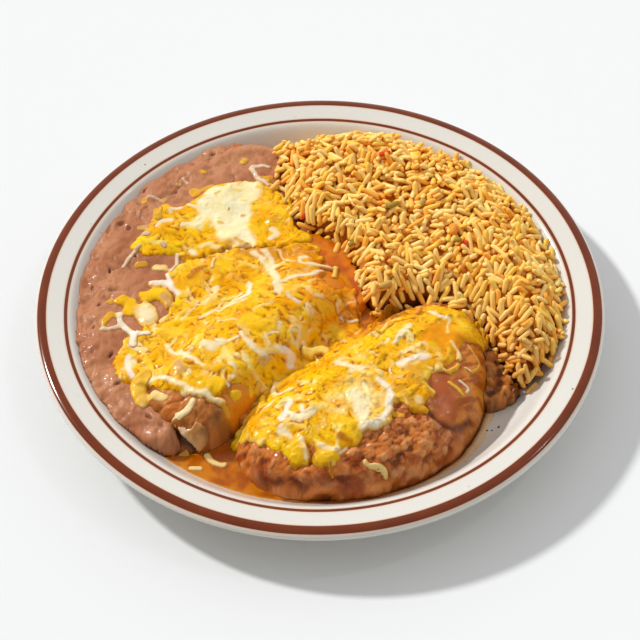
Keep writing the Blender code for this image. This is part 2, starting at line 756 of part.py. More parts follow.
def main():
    """Build the plate, then each food on what lies below it."""
    clear_scene()
    plate = make_plate(make_material("plate_glaze", GLAZE_WHITE, 0.12))

    tortilla = make_material("enchilada_left_surface", TORTILLA_BROWN, 0.35)
    left = make_roll("enchilada_left", LEFT_ROLL, left_relief, tortilla)
    fuse(left, bits_on(left, TORTILLA_FLAP, TORTILLA_FLAP_THICKNESS))
    carve(left, [plate])

    beans = make_beans(make_material("refried_beans_surface", BEAN_BROWN, 0.45))
    fuse(beans, bits_on(beans, CHEESE_BITS, CHEESE_BIT_THICKNESS))
    carve(beans, [plate, left])

    gravy = make_material("enchilada_right_surface", GRAVY_BROWN, 0.3)
    right = make_roll("enchilada_right", RIGHT_ROLL, right_relief, gravy)
    fuse(right, shreds_on(right, BARE_SHREDS))
    carve(right, [plate, left, beans])

    rice = make_rice(
        surface_heights([plate, left, beans, right]), make_material("rice_grains", RICE_ORANGE, 0.4)
    )
    peppers = bits_on(rice, PEPPER_BITS, PEPPER_THICKNESS)
    fuse(rice, peppers + loose_grains(rice, LOOSE_GRAINS, 4))
    carve(rice, [plate, left, beans, right])

    orange = make_material("sauce_front_surface", SAUCE_ORANGE, 0.15)
    front = make_level_sauce("sauce_front", SAUCE_FRONT_OUTLINE, SAUCE_FRONT_HEIGHT, orange)
    carve(front, [plate, left, beans, right])
    red = make_material("sauce_middle_surface", SAUCE_ORANGE, 0.15)
    middle = make_level_sauce("sauce_middle", SAUCE_MIDDLE_OUTLINE, SAUCE_MIDDLE_HEIGHT, red)
    carve(middle, [plate, left, beans, right, rice, front])
    brown = make_material("sauce_side_surface", SAUCE_BROWN, 0.2)
    side = make_level_sauce("sauce_side", SAUCE_SIDE_OUTLINE, SAUCE_SIDE_HEIGHT, brown)
    carve(side, [plate, right, rice])

    under = surface_heights([plate, left, beans, right, middle])
    yellow = make_material("cheese_left_surface", CHEESE_YELLOW, 0.25)
    cheese_left = make_cheese("cheese_left", CHEESE_LEFT_OUTLINE, under, 31, yellow)
    fuse(cheese_left, shreds_on(cheese_left, LEFT_SHREDS))
    carve(cheese_left, [left, beans, right, front, middle])
    white = make_material("cheese_pool_surface", CHEESE_WHITE, 0.2)
    cheese_pool = make_cheese("cheese_pool", CHEESE_POOL_OUTLINE, under, 32, white)
    fuse(cheese_pool, shreds_on(cheese_pool, POOL_SHREDS))
    carve(cheese_pool, [beans, left, cheese_left])
    golden = make_material("cheese_right_surface", CHEESE_YELLOW, 0.25)
    cheese_right = make_cheese("cheese_right", CHEESE_RIGHT_OUTLINE, under, 33, golden)
    fuse(cheese_right, shreds_on(cheese_right, RIGHT_SHREDS))
    carve(cheese_right, [left, right, front, middle, cheese_left])
    foods = [left, beans, right, rice, front, middle, side, cheese_left, cheese_pool, cheese_right]
    finish([plate] + foods)


main()
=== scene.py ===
"""
A plate of enchiladas, dressed for the camera: glazed plate, two rolls under melted cheese, refried
beans, orange rice and sauce, laid on each other in the order in which a cook plates them.
"""

import math

import bpy
import numpy as np
from mathutils import Matrix, Vector


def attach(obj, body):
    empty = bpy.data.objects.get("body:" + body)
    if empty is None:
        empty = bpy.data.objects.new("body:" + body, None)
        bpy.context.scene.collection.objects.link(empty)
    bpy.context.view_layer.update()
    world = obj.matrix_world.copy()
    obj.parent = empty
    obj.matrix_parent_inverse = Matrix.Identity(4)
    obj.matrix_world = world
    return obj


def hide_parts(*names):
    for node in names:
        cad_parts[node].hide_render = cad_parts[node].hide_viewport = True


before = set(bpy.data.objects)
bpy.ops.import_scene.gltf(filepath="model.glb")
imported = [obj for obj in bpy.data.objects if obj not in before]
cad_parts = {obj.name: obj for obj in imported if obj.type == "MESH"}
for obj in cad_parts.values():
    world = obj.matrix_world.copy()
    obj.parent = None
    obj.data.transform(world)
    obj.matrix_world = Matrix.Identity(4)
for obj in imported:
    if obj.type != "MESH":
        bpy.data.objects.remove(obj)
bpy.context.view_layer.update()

# Camera
# The meal is seen from the diner's side, 50 degrees above the table and about a metre away,
# through a long lens that keeps the plate's rim an even ellipse.
MM = 0.001
VIEW_ELEVATION = math.radians(50.49)
VIEW_ROLL = math.radians(-0.885)
VIEW_DISTANCE = 1068 * MM
VIEW_AIM = Vector((0.11, -11.38, 24.2)) * MM
VIEW_LENS = 128.3
VIEW_SENSOR = 36.0

back = Vector((0.0, -math.cos(VIEW_ELEVATION), math.sin(VIEW_ELEVATION)))
level_right = Vector((1.0, 0.0, 0.0))
level_up = back.cross(level_right)
view_right = math.cos(VIEW_ROLL) * level_right + math.sin(VIEW_ROLL) * level_up
view_up = math.cos(VIEW_ROLL) * level_up - math.sin(VIEW_ROLL) * level_right
camera_data = bpy.data.cameras.new("camera")
camera_data.lens = VIEW_LENS
camera_data.sensor_width = VIEW_SENSOR
camera_data.clip_start = 10 * MM
camera_data.clip_end = 20.0
camera = bpy.data.objects.new("camera", camera_data)
bpy.context.scene.collection.objects.link(camera)
camera.matrix_world = (
    Matrix.Translation(VIEW_AIM + VIEW_DISTANCE * back)
    @ Matrix((view_right, view_up, back)).transposed().to_4x4()
)
bpy.context.scene.camera = camera

# Light and floor
# One studio lamp stands behind the plate at the left, 39 degrees up, and a weak one at the right
# only puts points of light on what is wet. A pale room fills the shadows from all round, more from
# its far wall. The floor is a plain white sheet.

# A lamp is its name, its strength, the angle that it fills, and the direction in which it stands
LAMPS = (
    ("lamp", 2.6, math.radians(5.0), Vector((-0.649, 0.422, 0.635))),
    ("small_lamp", 0.1, math.radians(1.5), Vector((0.54, 0.2, 0.82))),
)
ROOM_STRENGTH = 0.95
ROOM_BRIGHT_SIDE = (0.49, 0.87, 0.0)
FLOOR_SIZE = 6.0


def linear(colour):
    """Linear red, green, blue and alpha of an sRGB hex colour.

    A share over 0.04045 gains 0.055, is divided by 1.055 and raised to the power 2.4. A smaller one
    is divided by 12.92.
    """
    shares = np.array([int(colour[start:start + 2], 16) for start in (1, 3, 5)]) / 255
    shares = np.where(shares <= 0.04045, shares / 12.92, ((shares + 0.055) / 1.055) ** 2.4)
    return (*shares.tolist(), 1.0)


def add_node(tree, kind, inputs=None, **settings):
    """Add a shader node with its settings: an input given as a socket is linked, any other is set."""
    node = tree.nodes.new("ShaderNode" + kind)
    for name, value in settings.items():
        setattr(node, name, value)
    for name, value in (inputs or {}).items():
        if isinstance(value, bpy.types.NodeSocket):
            tree.links.new(value, node.inputs[name])
        else:
            node.inputs[name].default_value = value
    return node


def new_material(name):
    """An empty material, its node tree and its output node."""
    material = bpy.data.materials.new(name)
    material.use_nodes = True
    material.node_tree.nodes.clear()
    return material, material.node_tree, add_node(material.node_tree, "OutputMaterial")


def new_mesh(name, places, faces, material):
    """One smooth object from its places and a list of face arrays, each with its own corner count."""
    mesh = bpy.data.meshes.new(name)
    mesh.vertices.add(len(places))
    mesh.vertices.foreach_set("co", np.asarray(places, float).ravel())
    counts = np.concatenate([np.full(len(group), group.shape[1]) for group in faces])
    mesh.loops.add(int(counts.sum()))
    corners = np.concatenate([group.ravel() for group in faces]).astype(np.int32)
    mesh.loops.foreach_set("vertex_index", corners)
    mesh.polygons.add(len(counts))
    mesh.polygons.foreach_set("loop_start", (np.cumsum(counts) - counts).astype(np.int32))
    mesh.update(calc_edges=True)
    mesh.shade_smooth()
    mesh.materials.append(material)
    item = bpy.data.objects.new(name, mesh)
    bpy.context.scene.collection.objects.link(item)
    return item


for name, strength, angle, direction in LAMPS:
    lamp_data = bpy.data.lights.new(name, "SUN")
    lamp_data.energy = strength
    lamp_data.angle = angle
    lamp = bpy.data.objects.new(name, lamp_data)
    bpy.context.scene.collection.objects.link(lamp)
    lamp.rotation_euler = direction.to_track_quat("Z", "Y").to_euler()

room = bpy.data.worlds.new("room")
room.use_nodes = True
sky = add_node(room.node_tree, "TexCoord").outputs["Generated"]
side = add_node(room.node_tree, "VectorMath", {0: sky, 1: ROOM_BRIGHT_SIDE}, operation="DOT_PRODUCT")
toward = add_node(room.node_tree, "MapRange", {"Value": side.outputs["Value"], "From Min": -1.0}).outputs[0]
# A Mix node's two colours are its inputs 6 and 7, and what it gives is its output 2
walls = add_node(room.node_tree, "Mix", {
    0: toward, 6: linear("#9a9792"), 7: linear("#fbfdff"),
}, data_type="RGBA")
background = room.node_tree.nodes["Background"]
room.node_tree.links.new(walls.outputs[2], background.inputs["Color"])
background.inputs["Strength"].default_value = ROOM_STRENGTH
bpy.context.scene.world = room

# Plain colour response, so that a colour shows as its hex value does under even light
bpy.context.scene.view_settings.view_transform = "Standard"

# Matt white card: no gloss, so it shows nothing but its shade
floor_card, tree, output = new_material("floor_card")
card = add_node(tree, "BsdfPrincipled", {
    "Base Color": linear("#e7e8e8"), "Roughness": 0.9, "Specular IOR Level": 0.2,
})
tree.links.new(card.outputs["BSDF"], output.inputs["Surface"])
reach = FLOOR_SIZE / 2
floor = new_mesh(
    "floor", [(-reach, -reach, 0.0), (reach, -reach, 0.0), (reach, reach, 0.0), (-reach, reach, 0.0)],
    [np.array([[0, 1, 2, 3]])], floor_card,
)

# Plate
# A round stoneware dinner plate, pressed and turned, with a flat floor, a curved wall and a thick
# rolled edge, standing on a foot ring that is left unglazed. The brown bands are brushed on under
# the off-white glaze while the plate turns, and iron in the clay breaks through as fine specks.
FLOOR_HEIGHT = 8.0 * MM
FLOOR_RADIUS = 88.0 * MM
WALL_RADIUS = 119.0 * MM
WALL_RISE = 16.0 * MM
WALL_LATE_RISE = 2.2
RIM_SLOPE = 0.15
RIM_RADIUS = 129.5 * MM
RIM_NOSE = 4.6 * MM
NOSE_HEIGHT = 22.6 * MM
NOSE_ABOVE = 3.0 * MM
NOSE_BELOW = 2.4 * MM
PLATE_THICKNESS = 5.0 * MM
UNDERSIDE_RADII = (128.5 * MM, 88.0 * MM)
FOOT = (
    (85.4, 2.7), (84.1, 1.2), (83.6, 0.3), (83.0, 0.0), (79.0, 0.0), (78.4, 0.3), (77.6, 1.4),
    (76.6, 2.0), (0, 2.0),
)
BARE_FOOT = 0.6 * MM
PLATE_TURNS = 256
THIN_BAND = (118.8 * MM, 120.4 * MM)
WIDE_BAND_START = 128.6 * MM
WIDE_BAND_END = math.radians(42)
BAND_WOBBLE = 0.25 * MM
BAND_SOFTNESS = 0.22 * MM
BAND_BLEED = 0.9 * MM
# Patterns in the glaze, each as its count in a metre: the brush wavers every 42 mm and streaks every
# 17 mm, the white clouds over every 56 mm, and the gloss ripples every 22 mm
WAVER = 24.0
STREAKS = 60.0
CLOUDS = 18.0
GLOSS_RIPPLE = 45.0
# Specks: cells 5 mm apart of which about one in four holds a dot of up to 0.6 mm
SPECK_CELLS = 200.0
EMPTY_CELLS = 0.72
LARGEST_SPECK = 0.13


def plate_top(radius):
    """Height of the plate's upper face: flat floor, S-shaped wall that rises late, gently rising rim."""
    across = np.clip((radius - FLOOR_RADIUS) / (WALL_RADIUS - FLOOR_RADIUS), 0, 1) ** WALL_LATE_RISE
    wall = FLOOR_HEIGHT + WALL_RISE * (3 * across ** 2 - 2 * across ** 3)
    return wall + RIM_SLOPE * np.maximum(radius - WALL_RADIUS, 0)


def smooth_curve(points, count, closed=False):
    """Catmull-Rom curve through plan or profile points, read at even steps of its length."""
    points = np.array(points, float)
    if closed:
        points = np.vstack([points[-1:], points, points[:2]])
    else:
        points = np.vstack([2 * points[0] - points[1], points, 2 * points[-1] - points[-2]])
    p0, p1, p2, p3 = points[:-3], points[1:-2], points[2:-1], points[3:]
    share = np.linspace(0, 1, 16, endpoint=False)[:, None, None]
    curve = 0.5 * (
        2 * p1 + (p2 - p0) * share + (2 * p0 - 5 * p1 + 4 * p2 - p3) * share ** 2
        + (3 * p1 - p0 - 3 * p2 + p3) * share ** 3
    )
    curve = np.vstack([curve.transpose(1, 0, 2).reshape(-1, points.shape[1]), points[-2:-1]])
    length = np.concatenate([[0], np.cumsum(np.linalg.norm(np.diff(curve, axis=0), axis=1))])
    places = np.linspace(0, length[-1], count, endpoint=not closed)
    return np.column_stack([np.interp(places, length, column) for column in curve.T])


# Half section: floor, wall and rim from their formula, the rolled edge as part of an ellipse, the
# underside as the same formula moved out and down by the thickness, and the foot ring
top_radii = np.concatenate([np.linspace(0, FLOOR_RADIUS, 12), np.linspace(FLOOR_RADIUS, RIM_RADIUS, 64)[1:]])
nose_turns = np.radians(np.linspace(76, -58, 22))
nose_depth = np.where(nose_turns > 0, NOSE_ABOVE, NOSE_BELOW)
nose = np.column_stack([
    RIM_RADIUS + RIM_NOSE * np.cos(nose_turns), NOSE_HEIGHT + nose_depth * np.sin(nose_turns),
])
under_radii = np.linspace(*UNDERSIDE_RADII, 44)
section = np.vstack([
    np.column_stack([top_radii, plate_top(top_radii)]), nose,
    np.column_stack([under_radii, plate_top(under_radii - PLATE_THICKNESS / 2) - PLATE_THICKNESS]),
    np.array(FOOT) * MM,
])
run = np.concatenate([[0], np.cumsum(np.linalg.norm(np.diff(section, axis=0), axis=1))])

# The section is turned round the Z axis; its first and last points are the two poles
turns = np.linspace(0, 2 * math.pi, PLATE_TURNS, endpoint=False)
ring = section[1:-1]
places = np.stack([
    ring[:, :1] * np.cos(turns), ring[:, :1] * np.sin(turns), np.repeat(ring[:, 1:], PLATE_TURNS, axis=1),
], axis=2).reshape(-1, 3)
rows = np.arange(len(ring) - 1)[:, None] * PLATE_TURNS
now = np.arange(PLATE_TURNS)
after = (now + 1) % PLATE_TURNS
quads = np.stack([
    rows + now, rows + PLATE_TURNS + now, rows + PLATE_TURNS + after, rows + after,
], axis=2).reshape(-1, 4)
last = (len(ring) - 1) * PLATE_TURNS
top_pole, under_pole = len(places), len(places) + 1
caps = np.vstack([
    np.column_stack([np.full(PLATE_TURNS, top_pole), now, after]),
    np.column_stack([np.full(PLATE_TURNS, under_pole), last + after, last + now]),
])
places = np.vstack([places, [(0, 0, section[0, 1]), (0, 0, section[-1, 1])]])

# Glazed stoneware: a thin layer of glass over pale clay, so its gloss is sharp and its colour soft
glaze, tree, output = new_material("speckled_glaze")
along = add_node(tree, "Attribute", attribute_name="run").outputs["Fac"]
where = add_node(tree, "TexCoord").outputs["Object"]
wobble = add_node(tree, "TexNoise", {"Vector": where, "Scale": WAVER, "Detail": 3.0}).outputs["Fac"]
shift = add_node(tree, "Math", {0: wobble, 1: 2 * BAND_WOBBLE, 2: -BAND_WOBBLE}, operation="MULTIPLY_ADD")
line = add_node(tree, "Math", {0: along, 1: shift.outputs[0]}, operation="ADD").outputs[0]
nose_start = len(top_radii)
nose_end = run[nose_start + np.argmin(np.abs(nose_turns - WIDE_BAND_END))]
band_edges = (
    np.interp(THIN_BAND, top_radii, run[:nose_start]),
    (np.interp(WIDE_BAND_START, top_radii, run[:nose_start]), nose_end),
)
masks = []
for spread in (0.0, BAND_BLEED):
    for start, end in band_edges:
        rise = add_node(tree, "MapRange", {
            "Value": line, "From Min": start - BAND_SOFTNESS - spread, "From Max": start + BAND_SOFTNESS,
        }, interpolation_type="SMOOTHSTEP")
        fall = add_node(tree, "MapRange", {
            "Value": line, "From Min": end - BAND_SOFTNESS, "From Max": end + BAND_SOFTNESS + spread,
            "To Min": 1.0, "To Max": 0.0,
        }, interpolation_type="SMOOTHSTEP")
        both = add_node(tree, "Math", {0: rise.outputs[0], 1: fall.outputs[0]}, operation="MULTIPLY")
        masks.append(both.outputs[0])
banded = add_node(tree, "Math", {0: masks[0], 1: masks[1]}, operation="MAXIMUM").outputs[0]
bled = add_node(tree, "Math", {0: masks[2], 1: masks[3]}, operation="MAXIMUM").outputs[0]
streaks = add_node(tree, "TexNoise", {"Vector": where, "Scale": STREAKS, "Detail": 4.0}).outputs["Fac"]
brown = add_node(tree, "Mix", {
    0: streaks, 6: linear("#5c2008"), 7: linear("#7c3815"),
}, data_type="RGBA").outputs[2]
cloudy = add_node(tree, "TexNoise", {"Vector": where, "Scale": CLOUDS, "Detail": 3.0}).outputs["Fac"]
white = add_node(tree, "Mix", {
    0: cloudy, 6: linear("#d6d2c9"), 7: linear("#dedbd3"),
}, data_type="RGBA").outputs[2]

cells = add_node(tree, "TexVoronoi", {"Vector": where, "Scale": SPECK_CELLS, "Randomness": 1.0})
chance = add_node(tree, "SeparateColor", {0: cells.outputs["Color"]})
size = add_node(tree, "MapRange", {
    "Value": chance.outputs[0], "From Min": EMPTY_CELLS, "To Max": LARGEST_SPECK,
})
speck = add_node(tree, "Math", {0: cells.outputs["Distance"], 1: size.outputs[0]}, operation="LESS_THAN")
faint = add_node(tree, "Math", {0: speck.outputs[0], 1: chance.outputs[1]}, operation="MULTIPLY").outputs[0]
specked = add_node(tree, "Mix", {0: faint, 6: white, 7: linear("#654b35")}, data_type="RGBA").outputs[2]
stained = add_node(tree, "Mix", {0: bled, 6: specked, 7: linear("#dcbca4")}, data_type="RGBA").outputs[2]
painted = add_node(tree, "Mix", {0: banded, 6: stained, 7: brown}, data_type="RGBA").outputs[2]

# The foot ring's bare clay
height = add_node(tree, "SeparateXYZ", {0: where}).outputs["Z"]
bare = add_node(tree, "Math", {0: height, 1: BARE_FOOT}, operation="LESS_THAN").outputs[0]
coloured = add_node(tree, "Mix", {0: bare, 6: painted, 7: linear("#bead94")}, data_type="RGBA").outputs[2]
dull = add_node(tree, "MapRange", {"Value": bare, "To Min": 0.13, "To Max": 0.8}).outputs[0]
ripple = add_node(tree, "TexNoise", {"Vector": where, "Scale": GLOSS_RIPPLE, "Detail": 2.0}).outputs["Fac"]
bump = add_node(tree, "Bump", {"Height": ripple, "Strength": 0.25, "Distance": 0.3 * MM}).outputs[0]
body = add_node(tree, "BsdfPrincipled", {
    "Base Color": coloured, "Roughness": dull, "IOR": 1.5, "Normal": bump,
    "Specular IOR Level": 0.28, "Subsurface Weight": 0.12, "Subsurface Scale": 1.0 * MM,
})
tree.links.new(body.outputs["BSDF"], output.inputs["Surface"])

plate = new_mesh("glazed_plate", places, [quads, caps], glaze)
plate.data.attributes.new("run", "FLOAT", "POINT").data.foreach_set(
    "value", np.concatenate([np.repeat(run[1:-1], PLATE_TURNS), run[[0, -1]]]))
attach(plate, "root")
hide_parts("plate")

# Left enchilada
# A corn tortilla rolled round its filling, laid seam down on the plate's floor, ladled with brown
# gravy and baked. Its near end is open: the tortilla's edge turns back there under the sauce.
LEFT_MIDDLE = (-31.0 * MM, -24.0 * MM)
LEFT_TURN = math.radians(50.0)
LEFT_HALF_LENGTH = 64.0 * MM
LEFT_HALF_WIDTH = 24.5 * MM
LEFT_SQUARENESS = 4.0
LEFT_SIDE = 13.0 * MM
CREST = 37.0 * MM
ROLL_ROUNDNESS = 2.6
SHOULDER = 2.2
SKIRT = 3.0 * MM
CREVICE = ((-82, -59), (-78, -63), (-75, -66), (-72, -71), (-67, -73), (-63, -76.5), (-58, -79.5))
NEAR_END = (-62, -66, 44, 32, 20)
END_SKIN = (-45, -69, 14, 11, 60)
END_SAUCE = (-66, -65, 13, 9, 50)
END_FAT = (-35, -60, 30, 17, 55)
BACK_SAUCE = (8.5, 13, 40, 24, 115)

# All food is laid on one plan grid, which reaches 288 steps each way and keeps the height so far
STEP = 0.45 * MM
GRID_HALF = 288
plan_line = np.arange(-GRID_HALF, GRID_HALF + 1) * STEP
plan_x, plan_y = np.meshgrid(plan_line, plan_line)
ground = plate_top(np.hypot(plan_x, plan_y))

# A seeded lattice repeats after 64 cells, and the shift keeps every place on its positive side
LATTICE = 64
LATTICE_SHIFT = 500
NOISE_GAIN = 1.7
THINNEST = 0.05 * MM
PUSH_LIMIT = 1.0 * MM


def on_lattice(x, y, turn, size):
    """Places turned and counted in cells of one size, and the column and row of each one's cell."""
    u = (x * math.cos(turn) + y * math.sin(turn)) / size + LATTICE_SHIFT
    v = (y * math.cos(turn) - x * math.sin(turn)) / size + LATTICE_SHIFT
    return u, v, np.floor(u).astype(int), np.floor(v).astype(int)


def noise(x, y, size, seed, octaves=1):
    """Gradient noise, about -1 to 1.

    Seeded slopes stand on a lattice of one size and are blended by the cubic 3t2 - 2t3. Each further
    octave adds the same at half the size and half the height.
    """
    total = np.zeros(np.shape(x))
    for octave in range(octaves):
        draw = np.random.default_rng(seed + 97 * octave)
        heading = draw.uniform(0, 2 * math.pi, (LATTICE, LATTICE))
        u, v, column, row = on_lattice(x, y, draw.uniform(0, math.pi), size / 2 ** octave)
        u, v = u - column, v - row
        blend_u, blend_v = u * u * (3 - 2 * u), v * v * (3 - 2 * v)
        for step_u in (0, 1):
            for step_v in (0, 1):
                slope = heading[(column + step_u) % LATTICE, (row + step_v) % LATTICE]
                value = np.cos(slope) * (u - step_u) + np.sin(slope) * (v - step_v)
                weight = (blend_u if step_u else 1 - blend_u) * (blend_v if step_v else 1 - blend_v)
                total += NOISE_GAIN * value * weight / 2 ** octave
    return total


def pebbles(x, y, size, seed):
    """Packed round lumps, and each lump's own number from 0 to 1.

    A lump is 1 in its middle and 0 where lumps meet: 1 less the square of the distance to the nearest
    of seeded points, one in each square of a lattice.
    """
    draw = np.random.default_rng(seed)
    offset_u, offset_v, number = draw.uniform(0, 1, (3, LATTICE, LATTICE))
    u, v, column, row = on_lattice(x, y, draw.uniform(0, math.pi), size)
    nearest = np.full(np.shape(x), 9.0)
    own = np.zeros(np.shape(x))
    for step_u in (-1, 0, 1):
        for step_v in (-1, 0, 1):
            pick = (column + step_u) % LATTICE, (row + step_v) % LATTICE
            distance = np.hypot(
                column + step_u + offset_u[pick] - u, row + step_v + offset_v[pick] - v)
            closer = distance < nearest
            nearest = np.where(closer, distance, nearest)
            own = np.where(closer, number[pick], own)
    return np.clip(1 - nearest ** 2, 0, 1), own


def depth_inside(x, y, outline, count=60):
    """Distance of plan points from a closed outline, positive inside it and negative outside.

    The outline is drawn in millimetres and smoothed to a count of points.
    """
    outline = smooth_curve(np.array(outline) * MM, count, closed=True)
    nearest = np.full(np.shape(x), 1.0)
    crossings = np.zeros(np.shape(x), int)
    for start, end in zip(outline, np.roll(outline, -1, axis=0)):
        side = end - start
        share = ((x - start[0]) * side[0] + (y - start[1]) * side[1]) / (side @ side)
        share = np.clip(share, 0, 1)
        gap = np.hypot(x - start[0] - share * side[0], y - start[1] - share * side[1])
        nearest = np.minimum(nearest, gap)
        if start[1] != end[1]:
            above = (start[1] > y) != (end[1] > y)
            crossings += above & (x < start[0] + (y - start[1]) * side[0] / side[1])
    return np.where(crossings % 2 == 1, nearest, -nearest)


def shoulder(distance, width):
    """Rises from 0 on an edge to 1 at one width inside it, as a rounded shoulder."""
    share = np.clip(distance / width, 0, 1)
    return (1 - (1 - share) ** SHOULDER) ** (1 / SHOULDER)


def ramp(value, low, high):
    """Smooth step from 0 at low to 1 at high: 3t2 - 2t3 of the share between them."""
    share = np.clip((value - low) / (high - low), 0, 1)
    return share * share * (3 - 2 * share)


def patch(x, y, place):
    """Share of the way out of an oval patch: 0 in its middle, 1 on its edge.

    A patch is x, y, length and width in millimetres and a turn in degrees.
    """
    middle_x, middle_y, length, width, degrees = place
    cosine, sine = math.cos(math.radians(degrees)), math.sin(math.radians(degrees))
    across, along = x - middle_x * MM, y - middle_y * MM
    return 2 * np.hypot((cosine * across + sine * along) / (length * MM),
                        (cosine * along - sine * across) / (width * MM))


def path_gap(x, y, path):
    """Distance of plan points from an open path."""
    nearest = np.full(np.shape(x), 1.0)
    for start, end in zip(path[:-1], path[1:]):
        side = end - start
        share = np.clip(((x - start[0]) * side[0] + (y - start[1]) * side[1]) / (side @ side), 0, 1)
        gap = np.hypot(x - start[0] - share * side[0], y - start[1] - share * side[1])
        nearest = np.minimum(nearest, gap)
    return nearest


def roll_top(x, y, middle, turn, bend, half_length, half_width, squareness, side):
    """Height of a roll's upper face, and the share of the way out to its edge.

    The face is a dome over a superellipse, whose long axis follows a spine bent to a parabola.
    """
    cosine, sine = math.cos(turn), math.sin(turn)
    along = cosine * (x - middle[0]) + sine * (y - middle[1])
    across = cosine * (y - middle[1]) - sine * (x - middle[0]) - bend * along ** 2
    out = np.abs(along / half_length) ** squareness + np.abs(across / half_width) ** squareness
    out = out ** (1 / squareness)
    dome = (1 - np.minimum(out, 1) ** ROLL_ROUNDNESS) ** (1 / SHOULDER)
    return side + (CREST - side) * dome, out


def paint_points(item, tone):
    """Give each point of a mesh its linear colour, in the attribute that the food's materials read."""
    tone = np.column_stack([tone, np.ones(len(tone))])
    item.data.attributes.new("tone", "FLOAT_COLOR", "POINT").data.foreach_set("color", tone.ravel())


def relief_body(name, window, top, bottom, keep, material, tone, shift=None):
    """Closed body over part of the plan grid, painted point by point.

    A top and a bottom sheet lie over the cells whose four corners are kept, at least THINNEST apart,
    and walls stand where a cell has no neighbour. Cells that touch by a corner alone are joined first.
    """
    cells = keep[:-1, :-1] & keep[1:, :-1] & keep[:-1, 1:] & keep[1:, 1:]
    for _ in range(3):
        a, b, c, d = cells[:-1, :-1], cells[:-1, 1:], cells[1:, :-1], cells[1:, 1:]
        crossed = (a & d & ~b & ~c) | (b & c & ~a & ~d)
        for part in (a, b, c, d):
            part |= crossed
    used = np.zeros(keep.shape, bool)
    for part in (used[:-1, :-1], used[1:, :-1], used[:-1, 1:], used[1:, 1:]):
        part |= cells
    number = np.cumsum(used.ravel()).reshape(used.shape) - 1
    count = int(used.sum())
    a, b, c, d = number[:-1, :-1], number[:-1, 1:], number[1:, 1:], number[1:, :-1]
    upper = np.stack([a, b, c, d], axis=2)[cells]
    faces = [upper, upper[:, ::-1] + count]
    padded = np.pad(cells, 1)
    for near, far, open_side in (
            (a, b, padded[:-2, 1:-1]), (b, c, padded[1:-1, 2:]),
            (c, d, padded[2:, 1:-1]), (d, a, padded[1:-1, :-2])):
        edge = cells & ~open_side
        start, end = near[edge], far[edge]
        faces.append(np.stack([end, start, start + count, end + count], axis=1))
    flat = np.stack([plan_x[window], plan_y[window]], axis=2)[used]
    moved = flat + shift[used] if shift is not None else flat
    bottom = np.minimum(bottom, top - THINNEST)
    places = np.vstack([np.column_stack([moved, top[used]]), np.column_stack([flat, bottom[used]])])
    item = new_mesh(name, places, [group for group in faces if len(group)], material)
    paint_points(item, np.vstack([tone[used], tone[used]]))
    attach(item, "root")
    return item


def window_round(low_x, low_y, high_x, high_y):
    """The part of the plan grid that covers a rectangle given in millimetres, and its x and y."""
    index = [int(round(value * MM / STEP)) + GRID_HALF for value in (low_y, high_y, low_x, high_x)]
    window = slice(max(index[0], 0), index[1] + 1), slice(max(index[2], 0), index[3] + 1)
    return window, plan_x[window], plan_y[window]


def blur(values, radius):
    """Mean over a square window, taken twice, which is close to a soft round mean."""
    reach = max(1, int(round(radius / STEP)))
    for _ in range(2):
        for axis in (0, 1):
            padding = [(0, 0), (0, 0)]
            padding[axis] = (reach + 1, reach)
            total = np.cumsum(np.pad(values, padding, mode="edge"), axis=axis)
            upper = total[2 * reach + 1:] if axis == 0 else total[:, 2 * reach + 1:]
            lower = total[:-2 * reach - 1] if axis == 0 else total[:, :-2 * reach - 1]
            values = (upper - lower) / (2 * reach + 1)
    return values


def slopes(height):
    """Change of a height map along x and along y."""
    along, across = np.gradient(height, STEP)
    return across, along


def pushed_out(height, relief):
    """Move a height map's points along its own normal by a relief: the plan shift and the new height.

    The shift is held under PUSH_LIMIT, so that steep sides don't fold.
    """
    across, along = slopes(height)
    size = np.sqrt(1 + across ** 2 + along ** 2)
    shift = np.stack([-across, -along], axis=2) * (relief / size)[..., None]
    return np.clip(shift, -PUSH_LIMIT, PUSH_LIMIT), height + relief / size


def mix(first, second, share):
    """Blend of two colours, or arrays of them, by a share for each point."""
    return np.asarray(first) * (1 - share[..., None]) + np.asarray(second) * share[..., None]


def rgb(colour):
    """Linear red, green and blue of a hex colour."""
    return np.array(linear(colour)[:3])


def laid(window, top, keep):
    """Note on the plan grid what now lies there, for the pieces that come on top."""
    ground[window] = np.where(keep, np.maximum(ground[window], top), ground[window])


window, x, y = window_round(-92, -88, 30, 40)
height, out = roll_top(
    x, y, LEFT_MIDDLE, LEFT_TURN, 0.0, LEFT_HALF_LENGTH, LEFT_HALF_WIDTH, LEFT_SQUARENESS, LEFT_SIDE)
floor_below = ground[window] + 0.3 * MM
edge = (1 - out) * LEFT_HALF_WIDTH
height = floor_below + (height - floor_below) * shoulder(edge, SKIRT)
lumps = pebbles(x, y, 5.0 * MM, 41)[0]
relief = 0.9 * MM * noise(x, y, 20 * MM, 3, 2) + 0.35 * MM * lumps + 0.12 * MM * noise(x, y, 1.6 * MM, 5, 2)
crevice = path_gap(x, y, smooth_curve(np.array(CREVICE) * MM, 24)) + 0.5 * MM * noise(x, y, 3 * MM, 7)
relief -= 2.6 * MM * np.exp(-(crevice / (1.5 * MM)) ** 2)
near_end = ramp(-patch(x, y, NEAR_END), -1.2, -0.7)
wrinkles = (1 - np.abs(noise(x, y, 11 * MM, 2))) ** 8
relief += near_end * (1.1 * MM * noise(x, y, 8 * MM, 4, 3) - 0.7 * MM * wrinkles)
soaked = ramp(-patch(x, y, BACK_SAUCE) + 0.15 * noise(x, y, 6 * MM, 97, 2), -1.2, -0.8)
relief *= shoulder(edge, 5 * MM) * (1 - 0.85 * soaked)
shift, top = pushed_out(height, relief)
keep = out < 1

